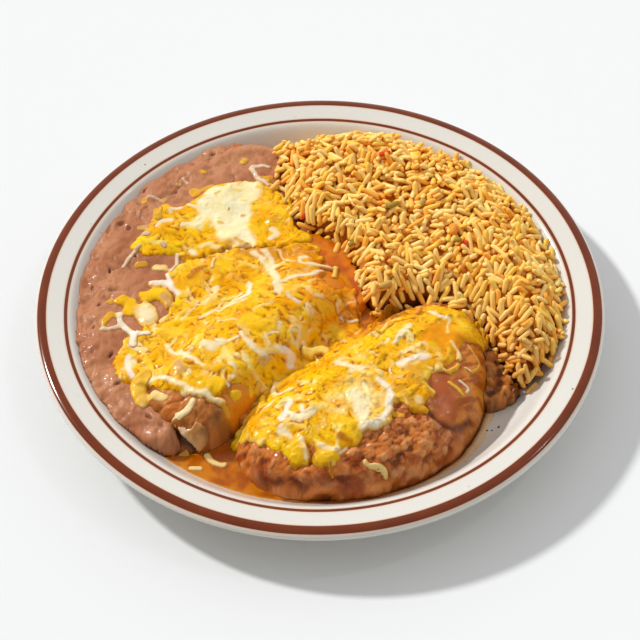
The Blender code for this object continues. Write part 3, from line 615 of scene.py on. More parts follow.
# Wet tortilla under brown gravy: the skin shows tan where the gravy is thin
wetness = ramp(noise(x, y, 9 * MM, 11, 3), -0.5, 0.7)
tone = mix(rgb("#824216"), rgb("#b2733a"), wetness)
tone = mix(tone, mix(rgb("#a85f20"), rgb("#cc8444"), wetness), 0.85 * near_end)
tone = mix(tone, rgb("#865522"), 0.7 * ramp(-patch(x, y, END_SKIN), -1, -0.4))
saucy = 0.2 * noise(x, y, 4 * MM, 12)
tone = mix(tone, rgb("#bd6620"), 0.85 * ramp(-patch(x, y, END_SAUCE) - saucy, -1.1, -0.8))
fatty = 0.25 * noise(x, y, 5 * MM, 98, 2)
tone = mix(tone, rgb("#e28c16"), 0.85 * ramp(-patch(x, y, END_FAT) + fatty, -1.1, -0.5))
# Painted shade: darker in the hollows of the relief, and darkest along the crevice
tone = mix(tone, rgb("#57250d"), 0.7 * ramp(blur(relief, 1.5 * MM) - relief, 0.0, 0.6 * MM))
tone = mix(tone, rgb("#36180b"), 0.85 * np.exp(-(crevice / (1.4 * MM)) ** 2))
tone = mix(tone, rgb("#d47a0a"), soaked)

# What all wet food shares: how deep its film ripples, how far its roughness wanders, and how far
# its grain lightens and darkens the colour
WET_RIPPLE = 0.35 * MM
FILM_SPREAD = 0.12
GRAIN_CONTRAST = 0.12


def wet_food(name, roughness, specular, gloss, glow, glow_reach, grain_size, grain_depth):
    """Moist food whose colour is painted on its points.

    Its flesh lets light in, by a share, the glow, and to a reach. A thin wet film lies on it, by a
    share, the gloss, and both are broken up by fine grain of one size and depth.
    """
    material, tree, output = new_material(name)
    painted = add_node(tree, "Attribute", attribute_name="tone").outputs["Color"]
    where = add_node(tree, "TexCoord").outputs["Object"]
    grain = add_node(tree, "TexNoise", {
        "Vector": where, "Scale": 1 / grain_size, "Detail": 3.0,
    }).outputs["Fac"]
    coarse = add_node(tree, "TexNoise", {
        "Vector": where, "Scale": 0.3 / grain_size, "Detail": 3.0,
    }).outputs["Fac"]
    bump = add_node(tree, "Bump", {"Height": grain, "Strength": 1.0, "Distance": grain_depth}).outputs[0]
    film = add_node(tree, "MapRange", {
        "Value": coarse, "From Min": 0.35, "From Max": 0.65,
        "To Min": max(roughness - FILM_SPREAD, 0.03), "To Max": roughness + FILM_SPREAD,
    }).outputs[0]
    ripple = add_node(tree, "Bump", {"Height": coarse, "Strength": 1.0, "Distance": WET_RIPPLE}).outputs[0]
    lighter = add_node(tree, "HueSaturation", {"Color": painted, "Value": 1 + GRAIN_CONTRAST}).outputs[0]
    darker = add_node(tree, "HueSaturation", {"Color": painted, "Value": 1 - GRAIN_CONTRAST}).outputs[0]
    coloured = add_node(tree, "Mix", {0: grain, 6: darker, 7: lighter}, data_type="RGBA").outputs[2]
    flesh = add_node(tree, "BsdfPrincipled", {
        "Base Color": coloured, "Roughness": film, "IOR": 1.4, "Normal": bump,
        "Specular IOR Level": specular,
        "Subsurface Weight": glow, "Subsurface Radius": (1.0, 0.5, 0.25), "Subsurface Scale": glow_reach,
        "Coat Weight": gloss, "Coat Roughness": 0.08, "Coat IOR": 1.38, "Coat Normal": ripple,
    })
    tree.links.new(flesh.outputs["BSDF"], output.inputs["Surface"])
    return material


# Corn tortilla, soaked in gravy and baked: soft and moist, with a broad gloss that its grain breaks
sauced_tortilla = wet_food(
    "sauced_tortilla", roughness=0.35, specular=0.15, gloss=0.5, glow=0.15, glow_reach=1.5 * MM,
    grain_size=0.9 * MM, grain_depth=0.15 * MM)
left_roll = relief_body("left_enchilada", window, top, floor_below - 0.1 * MM, keep, sauced_tortilla,
                        tone, shift)
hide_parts("enchilada_left")
laid(window, top, keep)

# The tortilla's edge, turned back at the open end and wet where it folds. Its rim and a streak on it
# are painted pale, as highlights, and its right part darker, as shade.
END_FLAP = (
    (-65.3, -72.2), (-61.2, -76.5), (-56.4, -79.4), (-51.9, -78.1), (-49.5, -74.7), (-51.3, -74.8),
    (-55.8, -72.2), (-58.9, -74.0), (-62.5, -72.7),
)
FLAP_FOLD = ((-57, -78), (-54, -75), (-51, -73))
FLAP_HIGHLIGHT = (-60.5, -74, 7, 3, 20)
window, x, y = window_round(-70, -83, -45, -66)
depth = depth_inside(x, y, END_FLAP) + 0.3 * MM * noise(x, y, 3 * MM, 8)
fold = np.exp(-(path_gap(x, y, np.array(FLAP_FOLD) * MM) / (1.3 * MM)) ** 2)
lift = (1.1 * MM + 0.9 * MM * fold + 0.3 * MM * noise(x, y, 3 * MM, 9, 2)) * shoulder(depth, 1.0 * MM)
shift, top = pushed_out(blur(ground[window], 1 * MM), lift)
tone = mix(rgb("#b07a40"), rgb("#d49e5e"), ramp(noise(x, y, 5 * MM, 10, 3), -0.5, 0.5))
# Painted shade on the right part; painted highlights along the rim and in a streak on it
tone = mix(tone, rgb("#74441f"), 0.8 * ramp(x, -55 * MM, -50 * MM))
rim_gap = path_gap(x, y, np.array(END_FLAP[:3]) * MM)
tone = mix(tone, rgb("#d6b488"), 0.9 * np.exp(-(rim_gap / (1.0 * MM)) ** 2))
painted_highlight = -patch(x, y, FLAP_HIGHLIGHT) + 0.4 * noise(x, y, 3 * MM, 6)
tone = mix(tone, rgb("#dccbb4"), 0.7 * ramp(painted_highlight, -1, -0.4))
flap = relief_body("tortilla_end", window, top, ground[window] - 0.8 * MM, depth > 0, sauced_tortilla,
                   tone, shift)
laid(window, top, depth > 0)

# Refried beans
# Mashed pinto beans, fried to a stiff paste and spread against the plate's wall with a spoon. The
# paste holds the spoon's creases and small pits, and skins over satin as it stands.
BEANS_HEIGHT = 24.0 * MM
BEANS_EDGE = 11.0 * MM
BEANS_OUTLINE = (
    (-16, 104), (-45, 106), (-75, 87), (-98, 60), (-112, 26), (-114.5, -8), (-109, -38), (-96, -62),
    (-81, -76), (-67, -81), (-61, -72), (-66, -50), (-52, -24), (-34, 4), (-14, 24), (-2, 40),
    (-2, 60), (-6, 80), (-9, 95),
)
BEAN_PITS = (
    (-96, 54, 5, 3, 60), (-92, 49, 4, 2.5, 120), (-104, 0, 3, 1.6, 30), (-106, -13, 2.4, 1.5, 80),
    (-93, -47, 4, 2, 20), (-88, 30, 3, 1.2, 150), (-100, 22, 3.5, 1.3, 100), (-97, -30, 4, 1.5, 60),
    (-78, -66, 5, 1.8, 140), (-85, 74, 4, 1.4, 40), (-52, 98, 4, 1.5, 0), (-108, 12, 3, 1.2, 90),
)

window, x, y = window_round(-118, -86, 4, 110)
depth = depth_inside(x, y, BEANS_OUTLINE, 90) + 1.1 * MM * noise(x, y, 11 * MM, 15, 3)
plate_below = plate_top(np.hypot(x, y))
spread = BEANS_HEIGHT + 1.0 * MM * noise(x, y, 26 * MM, 16)
height = plate_below + (spread - plate_below) * shoulder(depth, BEANS_EDGE)
bend_x = x + 2.5 * MM * noise(x, y, 12 * MM, 17, 2)
bend_y = y + 2.5 * MM * noise(x, y, 12 * MM, 18, 2)
folds = 1 - np.abs(noise(bend_x, bend_y * 0.7, 15 * MM, 19))
fine_folds = 1 - np.abs(noise(bend_x * 1.2, bend_y * 0.8, 6 * MM, 20))
creased = ramp(noise(x, y, 16 * MM, 26), -0.1, 0.5)
crumbs, crumb_tone = pebbles(x, y, 2.6 * MM, 22)
relief = (
    1.3 * MM * noise(x, y, 15 * MM, 21, 3) - 0.9 * MM * folds ** 12 * creased
    - 0.25 * MM * fine_folds ** 10 * (0.3 + creased)
    + 0.10 * MM * crumbs + 0.10 * MM * noise(x, y, 1.8 * MM, 23, 2)
)
pits = np.zeros_like(x)
for pit in BEAN_PITS:
    pits = np.maximum(pits, ramp(-patch(x, y, pit) - 0.15 * noise(x, y, 2 * MM, 24), -1.2, -0.5))
edge_folds = 1 - np.abs(noise(bend_x, bend_y, 8 * MM, 14, 2))
near_wall = ramp(-depth, -28 * MM, -6 * MM)
relief += near_wall * (
    0.6 * MM * noise(bend_x, bend_y, 6 * MM, 13, 3) - 0.5 * MM * edge_folds ** 9 * (0.2 + creased)
)
relief = (relief - 1.1 * MM * pits) * shoulder(depth, 3 * MM)
shift, top = pushed_out(height, relief)
keep = (depth > 0) & (top > ground[window] - 1.2 * MM)
hollow = ramp(blur(relief, 1.6 * MM) - relief, 0.05 * MM, 0.8 * MM)
tone = mix(rgb("#aa6842"), rgb("#bd7f57"), ramp(noise(x, y, 30 * MM, 25, 3), -0.7, 0.7))
tone = mix(tone, rgb("#9b5e38"), 0.3 * ramp(crumb_tone, 0.6, 0.9))
# Painted shade: darker in the hollows of the relief and in the pits
tone = mix(tone, rgb("#733a1e"), 0.7 * hollow)
tone = mix(tone, rgb("#57291c"), 0.6 * pits)

# Mashed beans fried in fat: a dense, mealy paste with a satin skin and next to no wet film
bean_paste = wet_food(
    "bean_paste", roughness=0.5, specular=0.28, gloss=0.12, glow=0.2, glow_reach=1.5 * MM,
    grain_size=1.0 * MM, grain_depth=0.16 * MM)
# Every second row of the grid is enough for its faces
rows, columns = window
beans = relief_body("refried_beans_spread", (slice(rows.start, rows.stop, 2), columns), top[::2],
                    (plate_below + 0.2 * MM)[::2], keep[::2], bean_paste, tone[::2], shift[::2])
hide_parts("refried_beans")
laid(window, top, keep)

# Right enchilada
# The second roll, bent to the plate's curve and hidden under a thick ladle of gravy with shreds of
# meat in it. At its far end the bare tortilla folds over, smooth and taut, beyond a deep crease.
RIGHT_MIDDLE = (28.6 * MM, -61.9 * MM)
RIGHT_TURN = math.radians(40.1)
RIGHT_BEND = 3.96
RIGHT_HALF_LENGTH = 68.0 * MM
RIGHT_HALF_WIDTH = 38.2 * MM
RIGHT_SQUARENESS = 2.13
RIGHT_SIDE = 15.0 * MM
CREASE = ((46.5, -72), (49.6, -75.2), (52.2, -77.6), (56.3, -78.6), (60, -78.1), (64, -75), (68, -70))
RUN_OFF = ((70, -38, 50, 20, 80), (70, -62, 44, 15, 69))
APRON = (-17, -97, 44, 20, -20)
SMOOTH_FOLD = (
    (45, -46), (48, -61), (49, -70), (52, -77), (60, -78), (70, -69), (78, -53), (86, -32), (78, -10),
    (52, -26),
)
GRAVY_LUMP = 3.9 * MM
RIGHT_SKIRT = 5.5 * MM

window, x, y = window_round(-42, -116, 86, 2)
height, out = roll_top(
    x, y, RIGHT_MIDDLE, RIGHT_TURN, RIGHT_BEND, RIGHT_HALF_LENGTH, RIGHT_HALF_WIDTH,
    RIGHT_SQUARENESS, RIGHT_SIDE)
plate_below = plate_top(np.hypot(x, y))
edge = (1 - out) * RIGHT_HALF_WIDTH + 0.6 * MM * noise(x, y, 9 * MM, 30, 2)
edge += 7 * MM * ramp(-patch(x, y, APRON), -1, 0)
height = plate_below + (height - plate_below) * shoulder(edge, RIGHT_SKIRT)
smooth = depth_inside(x, y, SMOOTH_FOLD)
smooth = ramp(smooth + 1.0 * MM * noise(x, y, 6 * MM, 27), -1.5 * MM, 1.5 * MM)
rough = 0.6 + 0.4 * ramp(x, 0, 25 * MM)
across_slope, along_slope = slopes(height)
calmed = 1 / (1 + (0.4 * np.hypot(across_slope, along_slope)) ** 2)
# The gravy's lumps are placed on the roll's face laid flat: each point moved outward by its drop
out_x, out_y = slopes(out)
drop = 0.9 * (CREST - height) / np.maximum(np.hypot(out_x, out_y), 1e-6)
flat_x, flat_y = x + drop * out_x, y + drop * out_y
lumps, lump_tone = pebbles(flat_x + 1.2 * MM * noise(flat_x, flat_y, 5 * MM, 31), flat_y, GRAVY_LUMP, 32)
small_lumps, small_tone = pebbles(flat_x, flat_y, 2.3 * MM, 33)
shreds = (1 - np.abs(noise(flat_x, flat_y, 6 * MM, 29, 2))) ** 6
lumpy = (
    1.5 * MM * noise(flat_x, flat_y, 12 * MM, 34, 2) + 1.0 * MM * rough * lumps * (0.2 + lump_tone)
    + rough * (0.5 * MM * small_lumps * small_tone + 0.5 * MM * shreds) * calmed
    + 0.2 * MM * noise(flat_x, flat_y, 1.6 * MM, 35, 2) * calmed
)
calm = 0.9 * MM * noise(x, y, 20 * MM, 36, 3) + 0.08 * MM * noise(x, y, 2.5 * MM, 37, 2)
crease = path_gap(x, y, smooth_curve(np.array(CREASE) * MM, 16))
relief = lumpy * (1 - smooth) + calm * smooth
relief -= 1.5 * MM * np.exp(-(crease / (1.3 * MM)) ** 2)
relief *= shoulder(edge, 5 * MM)
shift, top = pushed_out(height, relief)
keep = (edge > 0) & (top > ground[window] - 1.2 * MM)
hollow = ramp(blur(relief, 1.8 * MM) - relief, 0.0, 0.7 * MM)
ridge = ramp(relief - blur(relief, 1.8 * MM), 0.05 * MM, 0.6 * MM)
tone = mix(rgb("#a04a14"), rgb("#d07832"), ramp(noise(flat_x, flat_y, 14 * MM, 38, 3), -0.5, 0.5))
# Raised ridges are painted paler, as highlight; lumps of their own pale tone are paler meat
pale = rough * (0.4 * ridge + 0.25 * ramp(lump_tone, 0.7, 0.95) * lumps)
tone = mix(tone, rgb("#dca36a"), np.clip(pale, 0, 0.8))
# Painted shade in the hollows
tone = mix(tone, rgb("#5e250b"), 0.75 * hollow)
run_off = np.minimum(patch(x, y, RUN_OFF[0]), patch(x, y, RUN_OFF[1])) + 0.25 * noise(x, y, 5 * MM, 28, 2)
run_off = ramp(-run_off, -1.1, -0.6)
smooth = np.maximum(smooth, run_off)
skin = mix(rgb("#aa5422"), rgb("#be6a32"), ramp(noise(x, y, 12 * MM, 39, 2), -0.6, 0.6))
streak = ramp(noise(1.6 * (x - y), 0.5 * (x + y), 7 * MM, 99, 3), -0.4, 0.4)
skin = mix(skin, mix(rgb("#a0500f"), rgb("#d68428"), streak), 0.9 * run_off)
tone = mix(tone, skin, smooth)
# Painted shade along the crease
tone = mix(tone, rgb("#55220f"), 0.75 * np.exp(-(crease / (1.1 * MM)) ** 2))
# Painted shade on the roll's lower sides, deeper towards its right
low_side = ramp(-top, -16 * MM, -10 * MM)
tone = mix(tone, rgb("#682d0b"), (0.3 + 0.45 * ramp(x, -20 * MM, 20 * MM)) * low_side)

# Brown gravy, thickened with flour and fat: opaque and smooth between its lumps, with small lights
brown_gravy = wet_food(
    "brown_gravy", roughness=0.3, specular=0.06, gloss=0.6, glow=0.12, glow_reach=1.2 * MM,
    grain_size=0.9 * MM, grain_depth=0.16 * MM)
right_roll = relief_body("right_enchilada", window, top, plate_below + 0.2 * MM, keep, brown_gravy,
                         tone, shift)
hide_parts("enchilada_right")
laid(window, top, keep)

# A thread of fat stands where the gravy meets the glaze, held there like water against a glass
reach = 3.2 * MM + 2.0 * MM * ramp(x, 40 * MM, 70 * MM)
rim_share = ramp(edge + 0.8 * MM * noise(x, y, 9 * MM, 40, 2), -reach, 0.4 * MM)
film = 1.5 * MM * rim_share - 0.1 * MM
top = plate_below + film
keep = (edge > -reach) & (edge < 0.8 * MM) & (film > 0) & (ground[window] < plate_below + 1.2 * MM)
rim_tone = mix(rgb("#d6b48a"), rgb("#a8662a"), ramp(edge, -2.8 * MM, 0))
rim_tone = mix(rim_tone, rgb("#7a4212"), 0.85 * ramp(-x, -45 * MM, -20 * MM))
gravy_rim = relief_body("gravy_rim", window, top, plate_below - 0.5 * MM, keep, brown_gravy, rim_tone)

# Rice
# Long-grain rice, fried golden and simmered in tomato broth, spooned on as a loose mound. Each
# grain is whole and lightly oiled; the broth stays between them and darkens the gaps.
RICE_HEIGHT = 36.0 * MM
RICE_OUTER_EDGE = 24.0 * MM
RICE_INNER_EDGE = 12.0 * MM
RICE_OUTLINE = (
    (-20, 99), (-9, 106), (10, 111), (30, 110), (50, 102), (70, 90), (88, 73), (102, 52), (111, 28),
    (115, 3), (113, -15), (108, -32), (99, -44), (91, -47), (86, -42), (82, -33), (78, -20),
    (70, -10), (58, -4), (46, -3), (35, -6), (26, -9), (20, -3), (17, 8), (15, 20), (8, 31),
    (-4, 42), (-13, 53), (-15, 66), (-18, 84),
)
CORE_DEPTH = 3.2 * MM
GRAIN_TRIES = 80000
GRAIN_LENGTH = (7.2 * MM, 11.0 * MM)
GRAIN_WIDTH = (2.4 * MM, 3.0 * MM)
GRAIN_RINGS = ((-1.0, 0.0), (-0.94, 0.58), (-0.66, 0.96), (0.62, 1.0), (0.93, 0.64), (1.0, 0.0))
GRAIN_SIDES = 6
GRAIN_FLATNESS = 0.92
GRAIN_BOW = 0.06
GRAIN_BROTH_AND_SHADE = 0.6
# A grain is held up along this share of its length each way, with its axis this share of its width
# over what it lies on. It leans no steeper than this, and tops the mound by no more than this.
GRAIN_HOLD = 0.42
GRAIN_SEAT = 0.42
STEEPEST_GRAIN = 1.3
MOUND_SLACK = 1.3 * MM
# Where the rice lies in the right roll's sauce
SAUCED_CORNER = (84 * MM, -42 * MM)

window, x, y = window_round(-24, -58, 120, 116)
rice_depth = depth_inside(x, y, RICE_OUTLINE, 110)
outward = np.clip((np.hypot(x, y) - 55 * MM) / (40 * MM), 0, 1)
edge_width = RICE_INNER_EDGE + (RICE_OUTER_EDGE - RICE_INNER_EDGE) * outward
low = ground[window] + 1.6 * MM
high = RICE_HEIGHT + 1.6 * MM * noise(x, y, 30 * MM, 50, 2) + 1.2 * MM * noise(x, y, 9 * MM, 53)
rice_top = low + np.maximum(high - low, 0) * shoulder(rice_depth, edge_width) ** 1.5

# The core: broth-soaked rice under the loose grains, of which only dark gaps show
core_top = rice_top - CORE_DEPTH + 0.5 * MM * noise(x, y, 2.5 * MM, 51, 2)
keep = (rice_depth > 3.5 * MM) & (core_top > ground[window] - 1 * MM)
core_tone = mix(rgb("#f08c1c"), rgb("#ffac3c"), ramp(noise(x, y, 6 * MM, 52, 2), -0.6, 0.6))
inner = (1 - outward) * ramp(-rice_depth, -13 * MM, -4 * MM)
from_corner = np.hypot(x - SAUCED_CORNER[0], y - SAUCED_CORNER[1])
sauced = np.maximum(inner, ramp(-from_corner, -30 * MM, -12 * MM))
core_tone = mix(core_tone, rgb("#8a420a"), 0.85 * sauced)

# Rice soaked in broth: dull and dark, as the gaps between the grains look
soaked_rice = wet_food(
    "soaked_rice", roughness=0.45, specular=0.1, gloss=0.1, glow=0.1, glow_reach=1.0 * MM,
    grain_size=1.0 * MM, grain_depth=0.3 * MM)
# Hidden as it is, it takes every second line of the grid each way
rows, columns = window
half_as_fine = slice(rows.start, rows.stop, 2), slice(columns.start, columns.stop, 2)
under_rice = plate_top(np.hypot(x, y)) + 0.2 * MM
core = relief_body("rice_core", half_as_fine, core_top[::2, ::2], under_rice[::2, ::2], keep[::2, ::2],
                   soaked_rice, core_tone[::2, ::2])
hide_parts("rice")

# Grains fall one by one at seeded places and lie on what is already there: each finds the line
# that touches the pile under both its halves, and is turned away where it would top the mound.
# About one try in 74 stays, which makes 1,080 grains.
pile = np.where(keep, core_top, ground[window])
draw = np.random.default_rng(61)
origin = np.array([x[0, 0], y[0, 0]])
limit = np.array(x.shape[::-1]) - 1
grains = []
for _ in range(GRAIN_TRIES):
    middle = origin + draw.uniform(0, 1, 2) * limit * STEP
    heading, sunk, tilt = draw.uniform(0, math.pi), draw.uniform(0, 0.5) * MM, draw.normal(0, 0.3)
    length, width = draw.uniform(*GRAIN_LENGTH), draw.uniform(*GRAIN_WIDTH)
    column, row = np.round((middle - origin) / STEP).astype(int)
    if rice_depth[row, column] < -0.6 * MM:
        continue
    direction = np.array([math.cos(heading), math.sin(heading)])
    stations = np.linspace(-GRAIN_HOLD, GRAIN_HOLD, 7) * length
    spots = np.round((middle + stations[:, None] * direction - origin) / STEP).astype(int)
    spots = np.clip(spots, 0, limit)
    support = pile[spots[:, 1], spots[:, 0]]
    slope = (support[4:].max() - support[:3].max()) / (0.56 * length)
    slope = float(np.clip(slope + tilt, -STEEPEST_GRAIN, STEEPEST_GRAIN))
    rest = np.sort(support - slope * stations)[-2] + GRAIN_SEAT * width - sunk
    if rest + 0.5 * width > rice_top[row, column] + MOUND_SLACK + 0.8 * MM * abs(slope):
        continue
    half = int(0.6 * length / STEP) + 2
    rows = slice(max(row - half, 0), row + half + 1)
    columns = slice(max(column - half, 0), column + half + 1)
    away_x, away_y = x[rows, columns] - middle[0], y[rows, columns] - middle[1]
    flat = 1 / math.sqrt(1 + slope ** 2)
    run_along = away_x * direction[0] + away_y * direction[1]
    held = np.clip(run_along, -GRAIN_HOLD * length * flat, GRAIN_HOLD * length * flat)
    gap = np.hypot(away_x - held * direction[0], away_y - held * direction[1])
    crown = rest + slope * held + 0.5 * width * np.sqrt(np.clip(1 - (2 * gap / width) ** 2, 0, 1))
    around = pile[rows, columns]
    pile[rows, columns] = np.where(gap < 0.45 * width, np.maximum(around, crown), around)
    grains.append((middle[0], middle[1], rest, heading, slope, length, width))
grains = np.array(grains)


def grain_mesh(name, grains, tones, material, sides=GRAIN_SIDES):
    """Spindles in one mesh, one for each row of place, heading, slope, length and width.

    Each is a row of rings about a slightly bowed axis, and all are worked out at once. A spindle has
    one colour, which deepens towards its underside, for broth that clings there and as painted shade.
    """
    rings = np.array(GRAIN_RINGS)
    turn = np.linspace(0, 2 * math.pi, sides, endpoint=False)
    body = rings[1:-1]
    along = np.concatenate([[rings[0, 0]], np.repeat(body[:, 0], sides), [rings[-1, 0]]])
    side = np.concatenate([[0], (body[:, 1:] * np.cos(turn)).ravel(), [0]])
    over = np.concatenate([[0], (body[:, 1:] * np.sin(turn)).ravel(), [0]])
    cosine, sine, slope = np.cos(grains[:, 3]), np.sin(grains[:, 3]), grains[:, 4]
    size = np.sqrt(1 + slope ** 2)
    ahead = np.column_stack([cosine, sine, slope]) / size[:, None]
    left = np.column_stack([-sine, cosine, np.zeros_like(sine)])
    up = np.cross(ahead, left)
    half_length, half_width = grains[:, 5, None, None] / 2, grains[:, 6, None, None] / 2
    bowed = GRAIN_BOW * (1 - along ** 2)[None, :, None] * grains[:, 5, None, None]
    direction = np.where(np.arange(len(grains)) % 2 == 0, 1.0, -1.0)[:, None, None]
    places = (
        grains[:, None, :3] + along[None, :, None] * half_length * ahead[:, None]
        + (side[None, :, None] * half_width + direction * bowed) * left[:, None]
        + over[None, :, None] * half_width * GRAIN_FLATNESS * up[:, None]
    )
    count = len(along)
    now = np.arange(sides)
    after = (now + 1) % sides
    step = 1 + sides * np.arange(len(body) - 1)[:, None]
    quads = np.stack([
        step + now, step + after, step + sides + after, step + sides + now,
    ], axis=2).reshape(-1, 4)
    last = 1 + sides * (len(body) - 1)
    caps = np.vstack([
        np.column_stack([np.zeros(sides, int), after + 1, now + 1]),
        np.column_stack([np.full(sides, count - 1), last + now, last + after]),
    ])
    start = np.arange(len(grains))[:, None, None] * count
    faces = [(start + quads).reshape(-1, 4), (start + caps).reshape(-1, 3)]
    item = new_mesh(name, places.reshape(-1, 3), faces, material)
    # The underside of each spindle is painted deeper orange: clinging broth, and painted shade
    under = np.broadcast_to(ramp(-over, -0.6, 0.8) * GRAIN_BROTH_AND_SHADE, places.shape[:2])
    tones = np.broadcast_to(tones[:, None], places.shape)
    paint_points(item, mix(tones, rgb("#f29c34"), under).reshape(-1, 3))
    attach(item, "root")
    return item


# Each grain's colour: paler on top of the mound, redder where it lies in the rolls' sauce
grain_x, grain_y = grains[:, 0], grains[:, 1]
cells_across = np.round((grain_x - origin[0]) / STEP).astype(int)
cells_along = np.round((grain_y - origin[1]) / STEP).astype(int)
buried = rice_top[cells_along, cells_across] - grains[:, 2]
own = draw.uniform(0, 1, len(grains))
grain_tones = mix(rgb("#ffc94e"), rgb("#ffdf8c"), own)
grain_tones = mix(grain_tones, rgb("#ffb444"), ramp(draw.uniform(0, 1, len(grains)), 0.7, 1.0))
near_roll = ramp(-np.hypot(grain_x - SAUCED_CORNER[0], grain_y - SAUCED_CORNER[1]), -34 * MM, -6 * MM)
grain_tones = mix(grain_tones, rgb("#c87418"), 0.45 * near_roll)
grain_tones = mix(grain_tones, rgb("#ec9430"), 0.7 * ramp(buried, 1.6 * MM, 4 * MM))

# Whole cooked grains in a film of oil: smooth and a little clear, each with its own small light
cooked_rice = wet_food(
    "cooked_rice", roughness=0.42, specular=0.1, gloss=0.2, glow=0.06, glow_reach=0.8 * MM,
    grain_size=1.2 * MM, grain_depth=0.05 * MM)
rice_grains = grain_mesh("rice_grains", grains, grain_tones, cooked_rice)
laid(window, pile, rice_depth > 0)

# Sauce
# Red chile sauce with fat from the cheese floating on it. It has run off the rolls and stands level
# in the low places: in front, between the rolls, beside the right roll and behind the left one.
SAUCE_FRONT = (
    (-78, -76), (-62, -90), (-47, -98.5), (-33, -104), (-20, -107), (-8, -103), (-12, -92), (-26, -80),
    (-40, -66), (-56, -66), (-68, -68),
)
SAUCE_MIDDLE = (
    (24, 4), (30, -8), (24, -20), (8, -36), (-12, -50), (-26, -62), (-36, -68), (-40, -62), (-30, -52),
    (-20, -36), (-6, -22), (8, -8),
)
SAUCE_SIDE = (
    (68, -51), (76, -55), (84, -53.5), (91, -48), (91, -42), (86, -32), (80, -24), (72, -24), (66, -40),
)
SAUCE_BACK = (
    (-12, 40), (-2, 42), (8, 36), (16, 28), (21, 18), (23, 8), (22, -2), (17, -8), (12, -4), (8, 6),
    (2, 14), (-6, 22), (-14, 30),
)
MENISCUS = 0.45 * MM


def pour(name, node, outline, level, light, dark, seed, material, lumps=0.0, edge=3.0 * MM, clouds=8 * MM):
    """A pool of sauce inside a drawn outline, clouded from dark to light, and with lumps if it has any.

    Its face is the softened maximum of its level and what it stands on, so that its edge climbs.
    """
    window, x, y = window_round(*(np.min(outline, axis=0) - 3), *(np.max(outline, axis=0) + 3))
    depth = depth_inside(x, y, outline) + 0.8 * MM * noise(x, y, 5 * MM, seed, 2)
    shape, own = pebbles(x + 1.5 * MM * noise(x, y, 6 * MM, seed + 4), y, 3.8 * MM, seed + 3)
    surface = level + 0.12 * MM * noise(x, y, 7 * MM, seed + 1, 2) + lumps * shape * (0.4 + own)
    over = surface - 2.5 * MM * (1 - shoulder(depth, edge)) - ground[window]
    film = MENISCUS * np.logaddexp(0, over / MENISCUS)
    top = ground[window] + film
    keep = (depth > -1 * MM) & (over > -3 * MENISCUS)
    tone = mix(rgb(dark), rgb(light), ramp(noise(x, y, clouds, seed + 2, 3), -0.6, 0.6))
    tone = mix(tone, rgb("#d4901e"), 0.7 * ramp(-film, -0.9 * MM, -0.1 * MM))
    if lumps:
        tone = mix(tone, rgb("#d0914a"), 0.5 * ramp(own, 0.55, 0.75) * shape)
    item = relief_body(name, window, top, np.minimum(ground[window], top) - 0.8 * MM, keep, material, tone)
    if node:
        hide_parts(node)
    laid(window, top, keep)
    return item


# Thin chile sauce with fat floating on it: a red-brown liquid, almost a mirror where it stands level
chile_sauce = wet_food(
    "chile_sauce", roughness=0.12, specular=0.06, gloss=0.6, glow=0.2, glow_reach=2.0 * MM,
    grain_size=2.5 * MM, grain_depth=0.05 * MM)
pour("sauce_pool_front", "sauce_front", SAUCE_FRONT, 13.2 * MM, "#c57307", "#a75104", 70, chile_sauce)
pour("sauce_pool_middle", "sauce_middle", SAUCE_MIDDLE, 22.0 * MM, "#d47d0f", "#9f4805", 74, chile_sauce)
pour("sauce_pool_side", "sauce_side", SAUCE_SIDE, 15.5 * MM, "#b4661e", "#5c2806", 78, chile_sauce,
     lumps=2.6 * MM, edge=6.0 * MM, clouds=4 * MM)
back = pour("sauce_pool_back", None, SAUCE_BACK, 26.5 * MM, "#d47705", "#b65304", 82, chile_sauce)

# Melted cheese
# Shredded cheddar and jack, strewn over the rolls and the beans and melted under the grill. Most of
# it has run together; the last shreds keep their form, with amber fat in the seams between them.
# A strand is its shade, its width and its height over the ground in millimetres, and its path.
CHEESE_LEFT = (
    (-95, -35), (-91, -25), (-88, -19), (-79, -14), (-72, -8), (-66, 3), (-71, 13), (-67, 23),
    (-50, 29), (-38, 33), (-25, 36), (-8, 35), (0, 27), (1.5, 14), (2, 4), (8, 1.5), (15, 5),
    (18, -3), (19, -13), (17, -23), (4, -36), (-9, -46), (-22, -55), (-32, -56), (-40, -55),
    (-46, -61), (-52, -62), (-60, -60), (-70, -56), (-82, -49), (-91, -46),
)
CHEESE_POOL = (
    (-91, 37), (-84, 45), (-79, 52), (-78, 60), (-67, 62), (-58, 67), (-54, 73), (-46, 76), (-36, 78),
    (-26, 77), (-19, 70), (-13, 56), (-11, 46), (-4, 39), (-4, 35), (-14, 34), (-28, 35), (-46, 33),
    (-60, 29), (-76, 32), (-84, 32),
)
CHEESE_RIGHT = (
    (-40, -75), (-32.5, -64), (-22, -51), (-8, -41), (6, -31), (16, -21), (27, -13), (38, -10),
    (52, -8), (64, -9), (73, -12), (78, -17), (78, -23), (73, -29), (64, -33), (62, -40), (60, -46),
    (54, -51), (50, -53), (47, -59), (51, -64), (47, -69), (43, -73), (37, -70), (33, -71), (31, -78),
    (25, -84), (19, -86), (17, -91), (9, -94), (6, -99), (-1, -99), (-3, -92), (-6, -91), (-7, -98),
    (-14, -97), (-17, -92), (-27, -87), (-31, -82), (-39, -78),
)
JACK_DISC = (
    (-52, 71), (-48, 73), (-41, 75), (-31, 76), (-28, 70), (-31, 63), (-33, 60), (-32, 53), (-34, 47),
    (-31, 37), (-32, 31), (-38, 33), (-43, 38), (-47, 38), (-50, 45), (-53, 52), (-58, 48), (-61, 47),
    (-63, 49), (-57, 55), (-59, 62), (-56, 66),
)
CHEDDAR = ("#f2b405", "#f2bd12", "#eda802", "#f2c331", "#f2ba0b")
JACK = ("#f2dd9f", "#f2e3b6", "#f2d479", "#f2d884")
# Stray shreds may lie anywhere on the plate
STREWN = ((-112, -112), (90, -112), (90, 108), (-112, 108))
